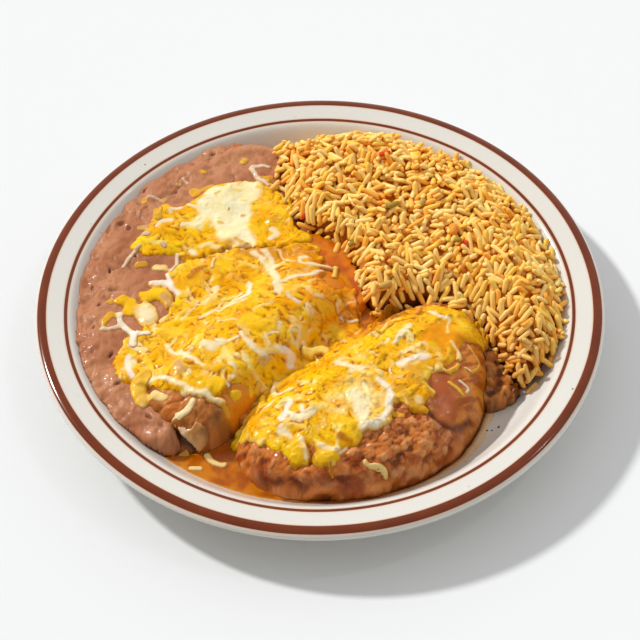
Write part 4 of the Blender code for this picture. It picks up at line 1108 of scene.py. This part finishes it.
# Where the shreds have run together, and how sharply, and where fat or jack has gathered
POOL_RUN = ((-42, 57, 40, 44, 0), -1.05, -0.7)
FOLD_RUN = ((60, -24, 40, 34, -20), -1, -0.5)
BACK_FAT = (6, 8, 44, 66, 0)
BACK_POOL = (8, 14, 26, 26, 0)
FAT_CHANNEL = (-18, 29, 64, 14, -8)
SIDE_FAT = (11, -14, 46, 24, 60)
FOLD_FAT = (28, -18, 44, 20, 25)
FOLD_CHEDDAR = (57, -32, 30, 24, 0)
FOOT_JACK = (19, -68, 36, 28, -40)
# A strewn shred's length, its least radius and the most that is added to it, in millimetres
SHRED_LENGTH = (4, 15)
SHRED_STEPS = 5
SHRED_RADIUS = (0.8, 1.5)
MELT_SOFTNESS = 0.2 * MM
SHRED_RISE = 0.85
FILM_DEPTH = 1.3 * MM
# Shades that the two cheeses take: jack from white to cream, cheddar from pale to fat-soaked, and
# what has tanned or browned under the grill. A pit is a small dark spot.
CHEESE_SHADES = {
    "white_jack": "#f0e4d2", "jack": "#efdeb4", "dull_jack": "#dcc8b4", "cream": "#ebd091",
    "pale_cheddar": "#eecf69", "soft_cheddar": "#e4b142", "cheddar": "#f0bc1c",
    "deep_cheddar": "#d79c28", "tanned": "#cc9d62", "browned": "#b46810", "pit": "#4a3a10",
}
LEFT_STRANDS = (
    ("white_jack", 3.0, 1.3, (-46, -7), (-39, -6), (-33, -4), (-33, 12)),
    ("jack", 4.6, 1.2, (-31, 30), (-26, 24), (-21, 7), (-19, -5)),
    ("jack", 4.2, 1.3, (-28, 35), (-24, 28), (-20, 16)),
    ("cream", 1.9, 1.3, (-19, 32), (-15, 19), (-11, 17)),
    ("jack", 3.2, 1.4, (-6, 22), (-9, 19), (-8, 16), (-3, 17), (1, 17), (5, 16)),
    ("jack", 2.6, 1.4, (-18, 2), (-11, 6), (-4, 8), (2, 12)),
    ("pale_cheddar", 3.0, 0.6, (8, 18), (7, 10)),
    ("dull_jack", 2.2, 1.3, (-15, -6), (-13, -10), (-10, -12)),
    ("cream", 1.8, 1.6, (-14, -27), (-12, -24), (-9, -25), (-12, -31), (-14, -27)),
    ("cream", 2.6, 1.3, (-12, -26), (-11, -26)),
    ("jack", 3.0, 1.3, (-36, -30), (-33, -35), (-31, -39), (-25, -41)),
    ("white_jack", 4.4, 1.2, (-19, -36), (-14, -36), (-14, -38), (-14, -40)),
    ("white_jack", 2.6, 1.3, (-8, -29), (-7, -30)),
    ("jack", 1.8, 1.3, (-25, -30), (-23, -35)),
    ("cream", 1.7, 1.3, (-47, -21), (-39, -22)),
    ("jack", 2.2, 1.3, (-56, -11), (-50, -7), (-45, -8)),
    ("jack", 6.0, 1.1, (-53, -35), (-49, -37), (-46, -35)),
    ("cream", 1.6, 1.3, (-76, -16), (-69, -18)),
    ("cream", 2.0, 1.3, (-64, -11), (-61, -6), (-57, 0)),
    ("jack", 3.0, 1.2, (-71, -27), (-65, -36), (-59, -42)),
    ("jack", 2.6, 1.2, (-59, -42), (-53, -47)),
    ("tanned", 6.5, 1.0, (-65, -44), (-63, -48)),
    ("white_jack", 3.6, 1.1, (-89, -32), (-88, -40), (-86, -45)),
    ("jack", 3.5, 1.4, (-78, -47), (-72, -50), (-65, -55), (-59, -59), (-52, -62), (-44, -65)),
    ("white_jack", 4.5, 1.0, (-80, 12), (-73, 12), (-67, 5)),
    ("white_jack", 3.0, 1.0, (-72, 17), (-71, 11)),
    ("cheddar", 7.5, 0.3, (-82, 4), (-78, 6), (-73, 5)),
    ("tanned", 2.0, 1.5, (-28, -44), (-26, -42), (-23, -42), (-26, -45), (-28, -44)),
    ("jack", 2.4, 1.2, (-41, -47), (-39, -49)),
    ("pale_cheddar", 2.4, 1.2, (-24, -38), (-19, -37)),
    ("cheddar", 9.0, 1.2, (-72, -18), (-65, -20)),
    ("cheddar", 9.0, 1.2, (-34, -23), (-28, -25)),
    ("cheddar", 8.0, 1.2, (-53, -56), (-46, -57)),
    ("cheddar", 8.0, 1.2, (7, -18), (9, -21)),
    ("pale_cheddar", 5.0, 1.2, (-3, -33), (0, -33)),
    ("browned", 4.6, 0.9, (-61, 15), (-58, 19), (-55, 21)),
    ("tanned", 5.0, 0.4, (-73, 4), (-71, -1)),
    ("browned", 2.6, 0.9, (-67, 29), (-64, 28)),
)
POOL_STRANDS = (
    ("jack", 3.4, 1.2, (-63, 62), (-58, 59), (-52, 54)),
    ("jack", 3.0, 1.2, (-71, 51), (-75, 50), (-78, 47)),
    ("jack", 2.4, 1.3, (-66, 48), (-61, 50), (-57, 53)),
    ("jack", 2.6, 1.2, (-67, 60), (-71, 59), (-72, 57)),
    ("jack", 3.8, 1.3, (-22, 45), (-20, 42), (-23, 39)),
    ("cream", 3.0, 1.2, (-57, 35), (-53, 36), (-48, 33)),
    ("deep_cheddar", 3.4, 1.5, (-40, 38), (-35, 35)),
    ("jack", 5.0, 1.1, (-61, 32), (-60, 31)),
    ("pale_cheddar", 4.0, 1.1, (-79, 37), (-74, 37)),
    ("soft_cheddar", 1.8, 1.5, (-50, 68), (-48, 69)),
    ("pale_cheddar", 1.8, 1.5, (-41, 71), (-38, 71)),
    ("cheddar", 3.0, 1.5, (-30, 73), (-28, 72)),
    ("pale_cheddar", 2.4, 1.5, (-37, 64), (-35, 64)),
    ("deep_cheddar", 2.2, 1.6, (-37, 55), (-36, 55)),
    ("cheddar", 4.4, 1.5, (-31, 59), (-24, 59)),
    ("cheddar", 4.4, 1.5, (-33, 47), (-29, 43)),
    ("browned", 1.2, 1.7, (-44, 59), (-44, 58)),
    ("browned", 1.2, 1.7, (-49, 52), (-48, 52)),
    ("soft_cheddar", 1.8, 1.5, (-48, 49), (-46, 49)),
    ("cheddar", 6.0, 1.3, (-20, 57), (-17, 54)),
    ("deep_cheddar", 1.6, 1.6, (-24, 52), (-19, 51)),
    ("deep_cheddar", 1.6, 1.6, (-23, 49), (-18, 49)),
)
RIGHT_STRANDS = (
    ("white_jack", 4.0, 1.3, (26, -59), (30, -64), (31, -70), (30, -76), (26, -82), (21, -84), (18, -85)),
    ("jack", 8.0, 1.2, (15, -67), (18, -76), (19, -83)),
    ("jack", 4.6, 1.2, (8, -46), (13, -50), (18, -52)),
    ("jack", 4.0, 1.2, (41, -26), (37, -32), (34, -37)),
    ("white_jack", 4.4, 1.2, (36, -50), (41, -47), (48, -45)),
    ("jack", 3.4, 1.2, (38, -49), (39, -53)),
    ("white_jack", 4.2, 1.2, (-14, -67), (-16, -73), (-18, -77)),
    ("jack", 3.0, 1.2, (-9, -71), (-7, -78)),
    ("jack", 4.4, 1.1, (-18, -82), (-14, -86)),
    ("jack", 3.2, 1.3, (-1, -92), (4, -94), (7, -94)),
    ("jack", 3.6, 1.4, (-9, -89), (-7, -96)),
    ("cheddar", 8.0, 1.0, (-11, -93), (-11, -95)),
    ("cheddar", 6.4, 1.0, (-1, -97), (4, -97)),
    ("browned", 2.4, 0.6, (4, -100), (4, -102)),
    ("pale_cheddar", 2.8, 1.1, (-28, -87), (-25, -85)),
    ("cheddar", 6.0, 1.3, (7, -79), (14, -83)),
    ("cream", 1.4, 1.6, (60, -19), (59, -29)),
    ("pale_cheddar", 1.9, 0.9, (48, -54), (46, -60), (51, -64)),
    ("jack", 3.2, 1.2, (51, -15), (56, -19), (59, -19)),
    ("deep_cheddar", 3.0, 1.2, (46, -10), (46, -20)),
    ("browned", 1.6, 1.1, (20, -29), (28, -10), (35, -5), (42, -11), (49, -12)),
    ("browned", 1.4, 1.1, (26, -33), (31, -26), (38, -21), (44, -21)),
    ("pale_cheddar", 2.2, 1.3, (28, -27), (32, -21), (37, -19)),
    ("deep_cheddar", 7.0, 1.0, (40, -52), (43, -54), (44, -60)),
    ("pit", 0.9, 1.6, (49, -23), (49, -24)),
    ("pit", 0.8, 1.6, (46, -30), (47, -30)),
    ("pit", 0.8, 1.6, (41, -35), (41, -36)),
    ("pit", 0.8, 1.6, (53, -45), (54, -45)),
    ("pit", 0.8, 1.6, (61, -22), (62, -22)),
    ("deep_cheddar", 4.4, 1.0, (36, -64), (40, -70), (43, -73), (46, -73)),
    ("cream", 3.2, 1.3, (43, -69), (45, -70)),
    ("soft_cheddar", 1.9, 1.0, (54, -51), (58, -52), (63, -47)),
    ("cream", 1.9, 1.4, (60, -34), (63, -40), (63, -44)),
    ("browned", 4.0, 1.2, (8, -88), (13, -91)),
    ("pale_cheddar", 5.5, 1.2, (-6, -33), (2, -31)),
)
LOOSE_STRANDS = (
    ("soft_cheddar", 4.9, 0.0, (-37, 91), (-36, 92)),
    ("deep_cheddar", 4.7, 0.0, (-57, 85), (-56, 85)),
    ("dull_jack", 3.1, 0.0, (-67, 82), (-64, 78)),
    ("tanned", 4.0, -0.1, (-69, 77), (-68, 77)),
    ("deep_cheddar", 6.7, 0.0, (-61, 72), (-60, 70)),
    ("deep_cheddar", 4.5, 0.0, (-56, 73), (-52, 75)),
    ("deep_cheddar", 4.9, 0.0, (-85, 67), (-85, 66)),
    ("dull_jack", 3.1, 0.0, (-83, 69), (-78, 67)),
    ("tanned", 4.5, -0.1, (-76, 66), (-75, 66)),
    ("deep_cheddar", 6.0, 0.0, (-78, 59), (-78, 53)),
    ("tanned", 5.4, -0.1, (-86, 48), (-84, 48)),
    ("dull_jack", 3.8, 0.0, (-85, 43), (-82, 43)),
    ("dull_jack", 4.0, 0.0, (-75, 36), (-74, 35)),
    ("deep_cheddar", 4.5, 0.0, (-87, 25), (-83, 25)),
    ("dull_jack", 3.1, 0.2, (-86, 35), (-91, 29), (-94, 24)),
    ("dull_jack", 3.2, 0.2, (-68, 31), (-68, 25), (-71, 20)),
    ("cream", 5.6, 0.0, (-78, 23), (-74, 23)),
    ("dull_jack", 3.5, 0.2, (-32, 84), (-33, 87), (-28, 88), (-24, 87)),
    ("dull_jack", 3.5, 0.2, (-32, 85), (-29, 79), (-24, 74)),
    ("deep_cheddar", 4.5, 0.0, (-26, 80), (-23, 80)),
    ("cream", 2.9, 0.2, (-50, 26), (-51, 20)),
    ("deep_cheddar", 4.9, 0.0, (-99, 2), (-98, 2)),
    ("cheddar", 7.0, 0.3, (-93, 2), (-89, 1), (-90, -4)),
    ("deep_cheddar", 5.2, 0.1, (-101, -11), (-98, -6)),
    ("white_jack", 4.2, 0.3, (-94, -6), (-93, -11), (-87, -18), (-80, -19)),
    ("white_jack", 5.0, 0.3, (-87, -18), (-87, -25)),
    ("dull_jack", 3.6, 0.2, (-102, -15), (-98, -15), (-93, -12)),
    ("jack", 11.5, 0.3, (-82, -4), (-81, -8)),
    ("cream", 4.0, 0.2, (-52, -81), (-50, -84), (-46, -86), (-44, -86)),
    ("cream", 4.0, 0.2, (-59, -88), (-55, -88)),
    ("deep_cheddar", 3.2, 0.0, (-64, -80), (-61, -80)),
    ("cream", 4.5, 0.5, (-81, -60), (-81, -57), (-77, -56), (-74, -58), (-71, -60)),
    ("jack", 4.4, 0.5, (-58, -64), (-61, -68), (-66, -70)),
    ("cheddar", 5.6, 0.2, (-39, -61), (-37, -60)),
    ("cheddar", 3.0, 0.4, (-32, -56), (-32, -60)),
    ("deep_cheddar", 3.6, 0.3, (-44, -66), (-42, -68)),
    ("soft_cheddar", 2.8, 0.4, (-28, -53), (-30, -59)),
    ("soft_cheddar", 9.0, 0.3, (-81, -45), (-83, -49), (-83, -53), (-81, -57)),
    ("cream", 2.8, 1.2, (19, -99), (21, -100), (25, -100), (28, -101)),
    ("soft_cheddar", 2.0, 0.9, (74, -10), (76, -16), (77, -24)),
    ("jack", 1.6, 0.9, (66, -47), (68, -48), (69, -49)),
    ("soft_cheddar", 2.6, 0.8, (58, -57), (62, -60), (64, -62)),
    ("white_jack", 2.4, 0.2, (63, -55), (67, -58), (66, -60)),
    ("deep_cheddar", 2.2, 0.3, (68, -33), (73, -42), (69, -49)),
    ("deep_cheddar", 3.8, 0.2, (32, -77), (36, -77)),
)


def lazy_path(draw, middle, length):
    """A path of one length round a middle, with a seeded heading, a steady bend and a little wander."""
    turn = np.cumsum(np.full(SHRED_STEPS, draw.normal(0, 0.28)) + draw.normal(0, 0.12, SHRED_STEPS))
    turn += draw.uniform(0, 2 * math.pi)
    steps = np.column_stack([np.cos(turn), np.sin(turn)]) * length / SHRED_STEPS
    path = np.vstack([[0, 0], np.cumsum(steps, axis=0)])
    return path - path.mean(axis=0) + middle


def drawn(strands):
    """Strands from their table: a smooth path, half the width, the height and the linear colour."""
    return [
        (smooth_curve(np.array(points, float) * MM, 4 * len(points)), width * MM / 2, level * MM,
         rgb(CHEESE_SHADES[shade]))
        for shade, width, level, *points in strands
    ]


def melt(name, node, outline, seed, count, strands, material, jack_share=0.1, run=None, finish=None,
         rise=1.0):
    """Melted shreds over what lies below.

    Each shred adds a low rounded ridge along its path, all are joined with a film by the softened
    maximum, and each point takes the colour of what stands highest there. Fat darkens the seams, and
    the crevices are painted darker, as shade. The drawn strands lie on top, and with a count of 0
    they are all there is.
    """
    window, x, y = window_round(*(np.min(outline, axis=0) - 7), *(np.max(outline, axis=0) + 7))
    draw = np.random.default_rng(seed)
    depth = depth_inside(x, y, outline, 150)
    steep = np.hypot(*slopes(blur(ground[window], 1.2 * MM)))
    ragged = depth + 1.4 * MM * noise(x, y, 7 * MM, seed + 1, 3) / (1 + steep)
    warp = 2 * MM * noise(x, y, 7 * MM, seed + 2, 2)
    lumps, own = pebbles(x + warp, y - warp, 6.5 * MM, seed + 3)
    bend = (1 - np.abs(noise(x + warp, y + warp, 6 * MM, seed + 4, 2))) ** 12
    bend *= ramp(noise(x, y, 9 * MM, seed + 5), -0.3, 0.3)
    film = FILM_DEPTH + 0.35 * MM * noise(x, y, 10 * MM, seed + 6) + 0.25 * MM * lumps
    film *= shoulder(ragged, 4 * MM)
    film -= 0.25 * MM * bend + 0.9 * MM * ramp(-ragged, -0.5 * MM, 1.5 * MM)
    if count:
        wobble, fall, spanned_gap, edge_tone, edge_share = 1, 0.5, 1.6 * MM, rgb("#cd881e"), 0.45
    else:
        wobble, fall, spanned_gap, edge_tone, edge_share = 0.4, 0.9, 0.5 * MM, rgb("#ba8155"), 0.75
        film = np.full(x.shape, -2.5 * MM)
    run_together = 0.7 * ramp(noise(x, y, 12 * MM, seed + 13, 2), 0.1, 0.5)
    if run:
        place, outer, inner = run
        run_together = np.maximum(ramp(-patch(x, y, place), outer, inner), run_together)
    film += 0.4 * MM * run_together
    tone = mix(mix(rgb("#eba500"), rgb("#f2c51a"), own), rgb("#c47500"), 0.8 * bend)
    bent_x = x + 0.8 * MM * wobble * noise(x, y, 4.5 * MM, seed + 9)
    bent_y = y + 0.8 * MM * wobble * noise(x, y, 4.5 * MM, seed + 10)
    swell = 1 + 0.3 * wobble * noise(x, y, 5 * MM, seed + 11)
    lines = (1 - np.abs(noise(x + warp, y - warp, 5.5 * MM, seed + 14, 2))) ** 16
    held = np.maximum(ramp(ragged, -2.5 * MM / (1 + 2 * steep), 0), 1e-6)

    def ridge(path, radius, level, rise):
        """The part of the window that a strand reaches, its share of the way out and its height there."""
        low, high = path.min(axis=0) - 1.5 * radius, path.max(axis=0) + 1.5 * radius
        columns = np.searchsorted(x[0], (low[0], high[0]))
        rows = np.searchsorted(y[:, 0], (low[1], high[1]))
        area = slice(rows[0], rows[1] + 1), slice(columns[0], columns[1] + 1)
        out = path_gap(bent_x[area], bent_y[area], path) / (radius * swell[area])
        return area, out, level + rise * (0.3 * radius + 0.2 * MM) * np.clip(1 - out ** 2, 0, 1) ** fall

    load = np.exp(film / MELT_SOFTNESS)
    paint = load[..., None] * np.dstack([tone, np.zeros(x.shape)])
    laid_down = 0
    while laid_down < count:
        middle = np.array([draw.uniform(x[0, 0], x[0, -1]), draw.uniform(y[0, 0], y[-1, 0])])
        spot = int((middle[1] - y[0, 0]) / STEP), int((middle[0] - x[0, 0]) / STEP)
        length = draw.uniform(*SHRED_LENGTH) * MM
        radius = (SHRED_RADIUS[0] + SHRED_RADIUS[1] * draw.uniform() ** 2) * MM
        if depth[spot] < -0.5 * MM:
            continue
        laid_down += 1
        colours = JACK if draw.uniform() < jack_share else CHEDDAR
        inside = np.clip(depth[spot] / (6 * MM), 0, 1)
        level = FILM_DEPTH * (0.4 + 0.6 * inside) + draw.uniform(-0.3, 0.35) * MM
        level -= 0.7 * MM * run_together[spot]
        path = lazy_path(draw, middle, length * (0.5 + 0.5 * inside))
        area, out, height = ridge(path, radius, level, SHRED_RISE)
        weight = np.where(out < 1, np.exp(height / MELT_SOFTNESS) * (1 - out ** 6), 0) * held[area]
        load[area] += weight
        colour = np.broadcast_to(rgb(colours[draw.integers(len(colours))]), out.shape + (3,))
        paint[area] += weight[..., None] * np.dstack([colour, out ** 4])
    thick = MELT_SOFTNESS * np.log(load)
    paint /= load[..., None]
    tone, seam = paint[..., :3], paint[..., 3]
    crevice = ramp(blur(thick, 0.9 * MM) - thick, 0.03 * MM, 0.22 * MM)
    greasy = ramp(noise(x, y, 7 * MM, seed + 8, 2), -0.5, 0.4)
    if count:
        tone = tone * (1 + np.array([0.0, 0.12, 0.2]) * noise(x, y, 13 * MM, seed + 12, 2)[..., None])
        tone = mix(tone, rgb("#b46202"), 0.75 * lines * (0.3 + 0.7 * greasy))
        thick -= 0.25 * MM * lines
        # Fat darkens the seams, and the crevices between shreds are painted darker, as shade
        tone = mix(tone, rgb("#b46202"), np.clip((0.4 + 0.7 * greasy) * (crevice + seam), 0, 0.92))
    if finish:
        tone = finish(x, y, tone)
    for path, radius, level, colour in drawn(strands):
        area, out, height = ridge(path, radius, level, rise)
        if out.size == 0:
            continue
        height = np.where(out < 1, height, -9 * MM)
        thick[area] = MELT_SOFTNESS * np.logaddexp(thick[area] / MELT_SOFTNESS, height / MELT_SOFTNESS)
        tone[area] = mix(tone[area], colour, 0.85 * ramp(-out, -1.1, -0.35))
    thick = 0.3 * thick + 0.7 * blur(thick, 0.5 * MM)
    tone = mix(tone, edge_tone, edge_share * ramp(-thick, -0.7 * MM, 0))
    below = ground[window]
    spanned = np.maximum(below, blur(below, spanned_gap))
    if count:
        spanned = np.maximum(spanned, 0.3 * below + 0.7 * blur(below, 4.5 * MM))
    base = below + (spanned - below) * ramp(thick, 0.2 * MM, 1.2 * MM)
    top = base + thick + 0.03 * MM * noise(x, y, 1.2 * MM, seed + 7)
    keep = thick > -0.4 * MM
    item = relief_body(name, window, top, below - 0.6 * MM, keep, material, tone)
    if node:
        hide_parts(node)
    laid(window, top, keep & (thick > 0))
    return item


def oily(x, y, tone):
    """Cheese on the back of the left roll, soaked through by red fat."""
    ragged = 0.3 * noise(x, y, 8 * MM, 90, 2)
    soaked = ramp(-patch(x, y, BACK_FAT) + ragged, -1, -0.3)
    drowned = ramp(-patch(x, y, BACK_POOL) + ragged, -1, -0.6)
    channel = ramp(-patch(x, y, FAT_CHANNEL) + ragged, -1, -0.5)
    streaked = 1 - np.abs(noise(x, y, 6 * MM, 95, 2))
    side = ramp(-patch(x, y, SIDE_FAT) + ragged, -1, -0.5)
    soaked = np.maximum(soaked, side * ramp(noise(x, y, 9 * MM, 96, 2), -0.7, 0.5))
    tone = mix(tone, tone * rgb("#e79938") * 1.1, 0.6 * soaked)
    tone = mix(tone, rgb("#a8500a"), 0.75 * side * ramp(streaked, 0.8, 0.96))
    return mix(tone, rgb("#c76e0b"), np.maximum(0.85 * drowned, 0.6 * channel))


def creamy(x, y, tone):
    """Cheese on the right roll, whitened where more jack fell."""
    ragged = 0.4 * noise(x, y, 6 * MM, 93, 2)
    streaked = 1 - np.abs(noise(x, y, 7 * MM, 94, 2))
    soaked = ramp(-patch(x, y, FOLD_FAT) + ragged, -1, -0.4)
    tone = mix(tone, rgb("#d8861c"), 0.7 * soaked)
    tone = mix(tone, rgb("#a0500e"), 0.8 * soaked * ramp(streaked, 0.75, 0.95))
    deep = ramp(-patch(x, y, FOLD_CHEDDAR) + ragged, -1, -0.4)
    tone = mix(tone, rgb("#e59003"), 0.88 * deep)
    share = ramp(-patch(x, y, FOOT_JACK) + ragged, -1, -0.2)
    return mix(tone, rgb("#f2e39f"), 0.55 * share)


def jack_disc(x, y, tone):
    """The disc of melted jack, which has pushed the cheddar to its edge."""
    disc = depth_inside(x, y, JACK_DISC, 90) + 2.2 * MM * noise(x, y, 6 * MM, 91, 2)
    cream = mix(rgb("#f2e2aa"), rgb("#f2e7bd"), ramp(noise(x, y, 9 * MM, 92, 2), -0.5, 0.5))
    return mix(tone, cream, ramp(disc, -2.5 * MM, 2.0 * MM))


# Cheddar and jack melted together: waxy and half clear, so that light spreads in them, under fat
melted_cheese = wet_food(
    "melted_cheese", roughness=0.3, specular=0.08, gloss=0.18, glow=0.27, glow_reach=1.5 * MM,
    grain_size=1.3 * MM, grain_depth=0.05 * MM)
melt("cheese_on_left_roll", "cheese_left", CHEESE_LEFT, 81, 640, LEFT_STRANDS, melted_cheese,
     jack_share=0.26, finish=oily)
melt("cheese_pool_melted", "cheese_pool", CHEESE_POOL, 83, 150, POOL_STRANDS, melted_cheese,
     jack_share=0.05, run=POOL_RUN, finish=jack_disc)
melt("cheese_on_right_roll", "cheese_right", CHEESE_RIGHT, 85, 420, RIGHT_STRANDS, melted_cheese,
     jack_share=0.24, run=FOLD_RUN, finish=creamy)
loose = melt("loose_cheese_shreds", None, STREWN, 87, 0, LOOSE_STRANDS, melted_cheese, rise=0.6)

# Bits in the rice
# Dice of red and green pepper and clear onion, cooked with the rice and lying between its grains,
# the last grains that fell into the sauce behind the left roll, and specks of pepper on the plate.
BIT_SHADES = {
    "red_pepper": "#dc481a", "green_pepper": "#9c8630", "pale_onion": "#c8a252",
    "stained_onion": "#f09836", "loose_grain": "#fcc464", "ground_pepper": "#524028",
}
BITS = (
    ("red_pepper", (69, 24, 5.0, 3.4, 30)),
    ("red_pepper", (33, 81, 6.0, 3.0, 10)),
    ("red_pepper", (-7, 48, 4.0, 2.4, 60)),
    ("green_pepper", (36, 48, 6.5, 2.8, 20)),
    ("pale_onion", (50, 50, 5.5, 3.0, 60)),
    ("stained_onion", (64, 32, 6.5, 4.4, 80)),
    ("green_pepper", (66, 25, 4.0, 2.4, 0)),
    ("green_pepper", (16, 29, 4.5, 2.8, 30)),
    ("green_pepper", (-14, 62, 5.5, 3.2, 70)),
    ("pale_onion", (31, -1, 6.5, 3.4, 20)),
    ("loose_grain", (9, 31, 6.5, 2.7, 70)),
    ("loose_grain", (25, -3, 7.5, 2.6, 80)),
    ("loose_grain", (26, -5, 7.0, 2.6, 95)),
    ("loose_grain", (-20, 83, 8.0, 2.6, 80)),
    ("ground_pepper", (75.9, -66.0, 1.0, 0.8, 20)),
    ("ground_pepper", (78.0, -66.4, 0.9, 0.7, 0)),
    ("ground_pepper", (81.2, -65.2, 1.3, 1.0, 60)),
    ("loose_grain", (-21, 74, 7.0, 2.6, 50)),
    ("stained_onion", (46, -16, 5.0, 2.6, 60)),
)
bits = []
for shade, (middle_x, middle_y, length, width, degrees) in BITS:
    spot = int(round(middle_y * MM / STEP)) + GRID_HALF, int(round(middle_x * MM / STEP)) + GRID_HALF
    bits.append((middle_x * MM, middle_y * MM, ground[spot] + 0.1 * width * MM, math.radians(degrees), 0.1,
                 length * MM, width * MM))
bit_tones = np.array([rgb(BIT_SHADES[shade]) for shade, _ in BITS])
bit_mesh = grain_mesh("pepper_and_onion_bits", np.array(bits), bit_tones, cooked_rice, sides=8)
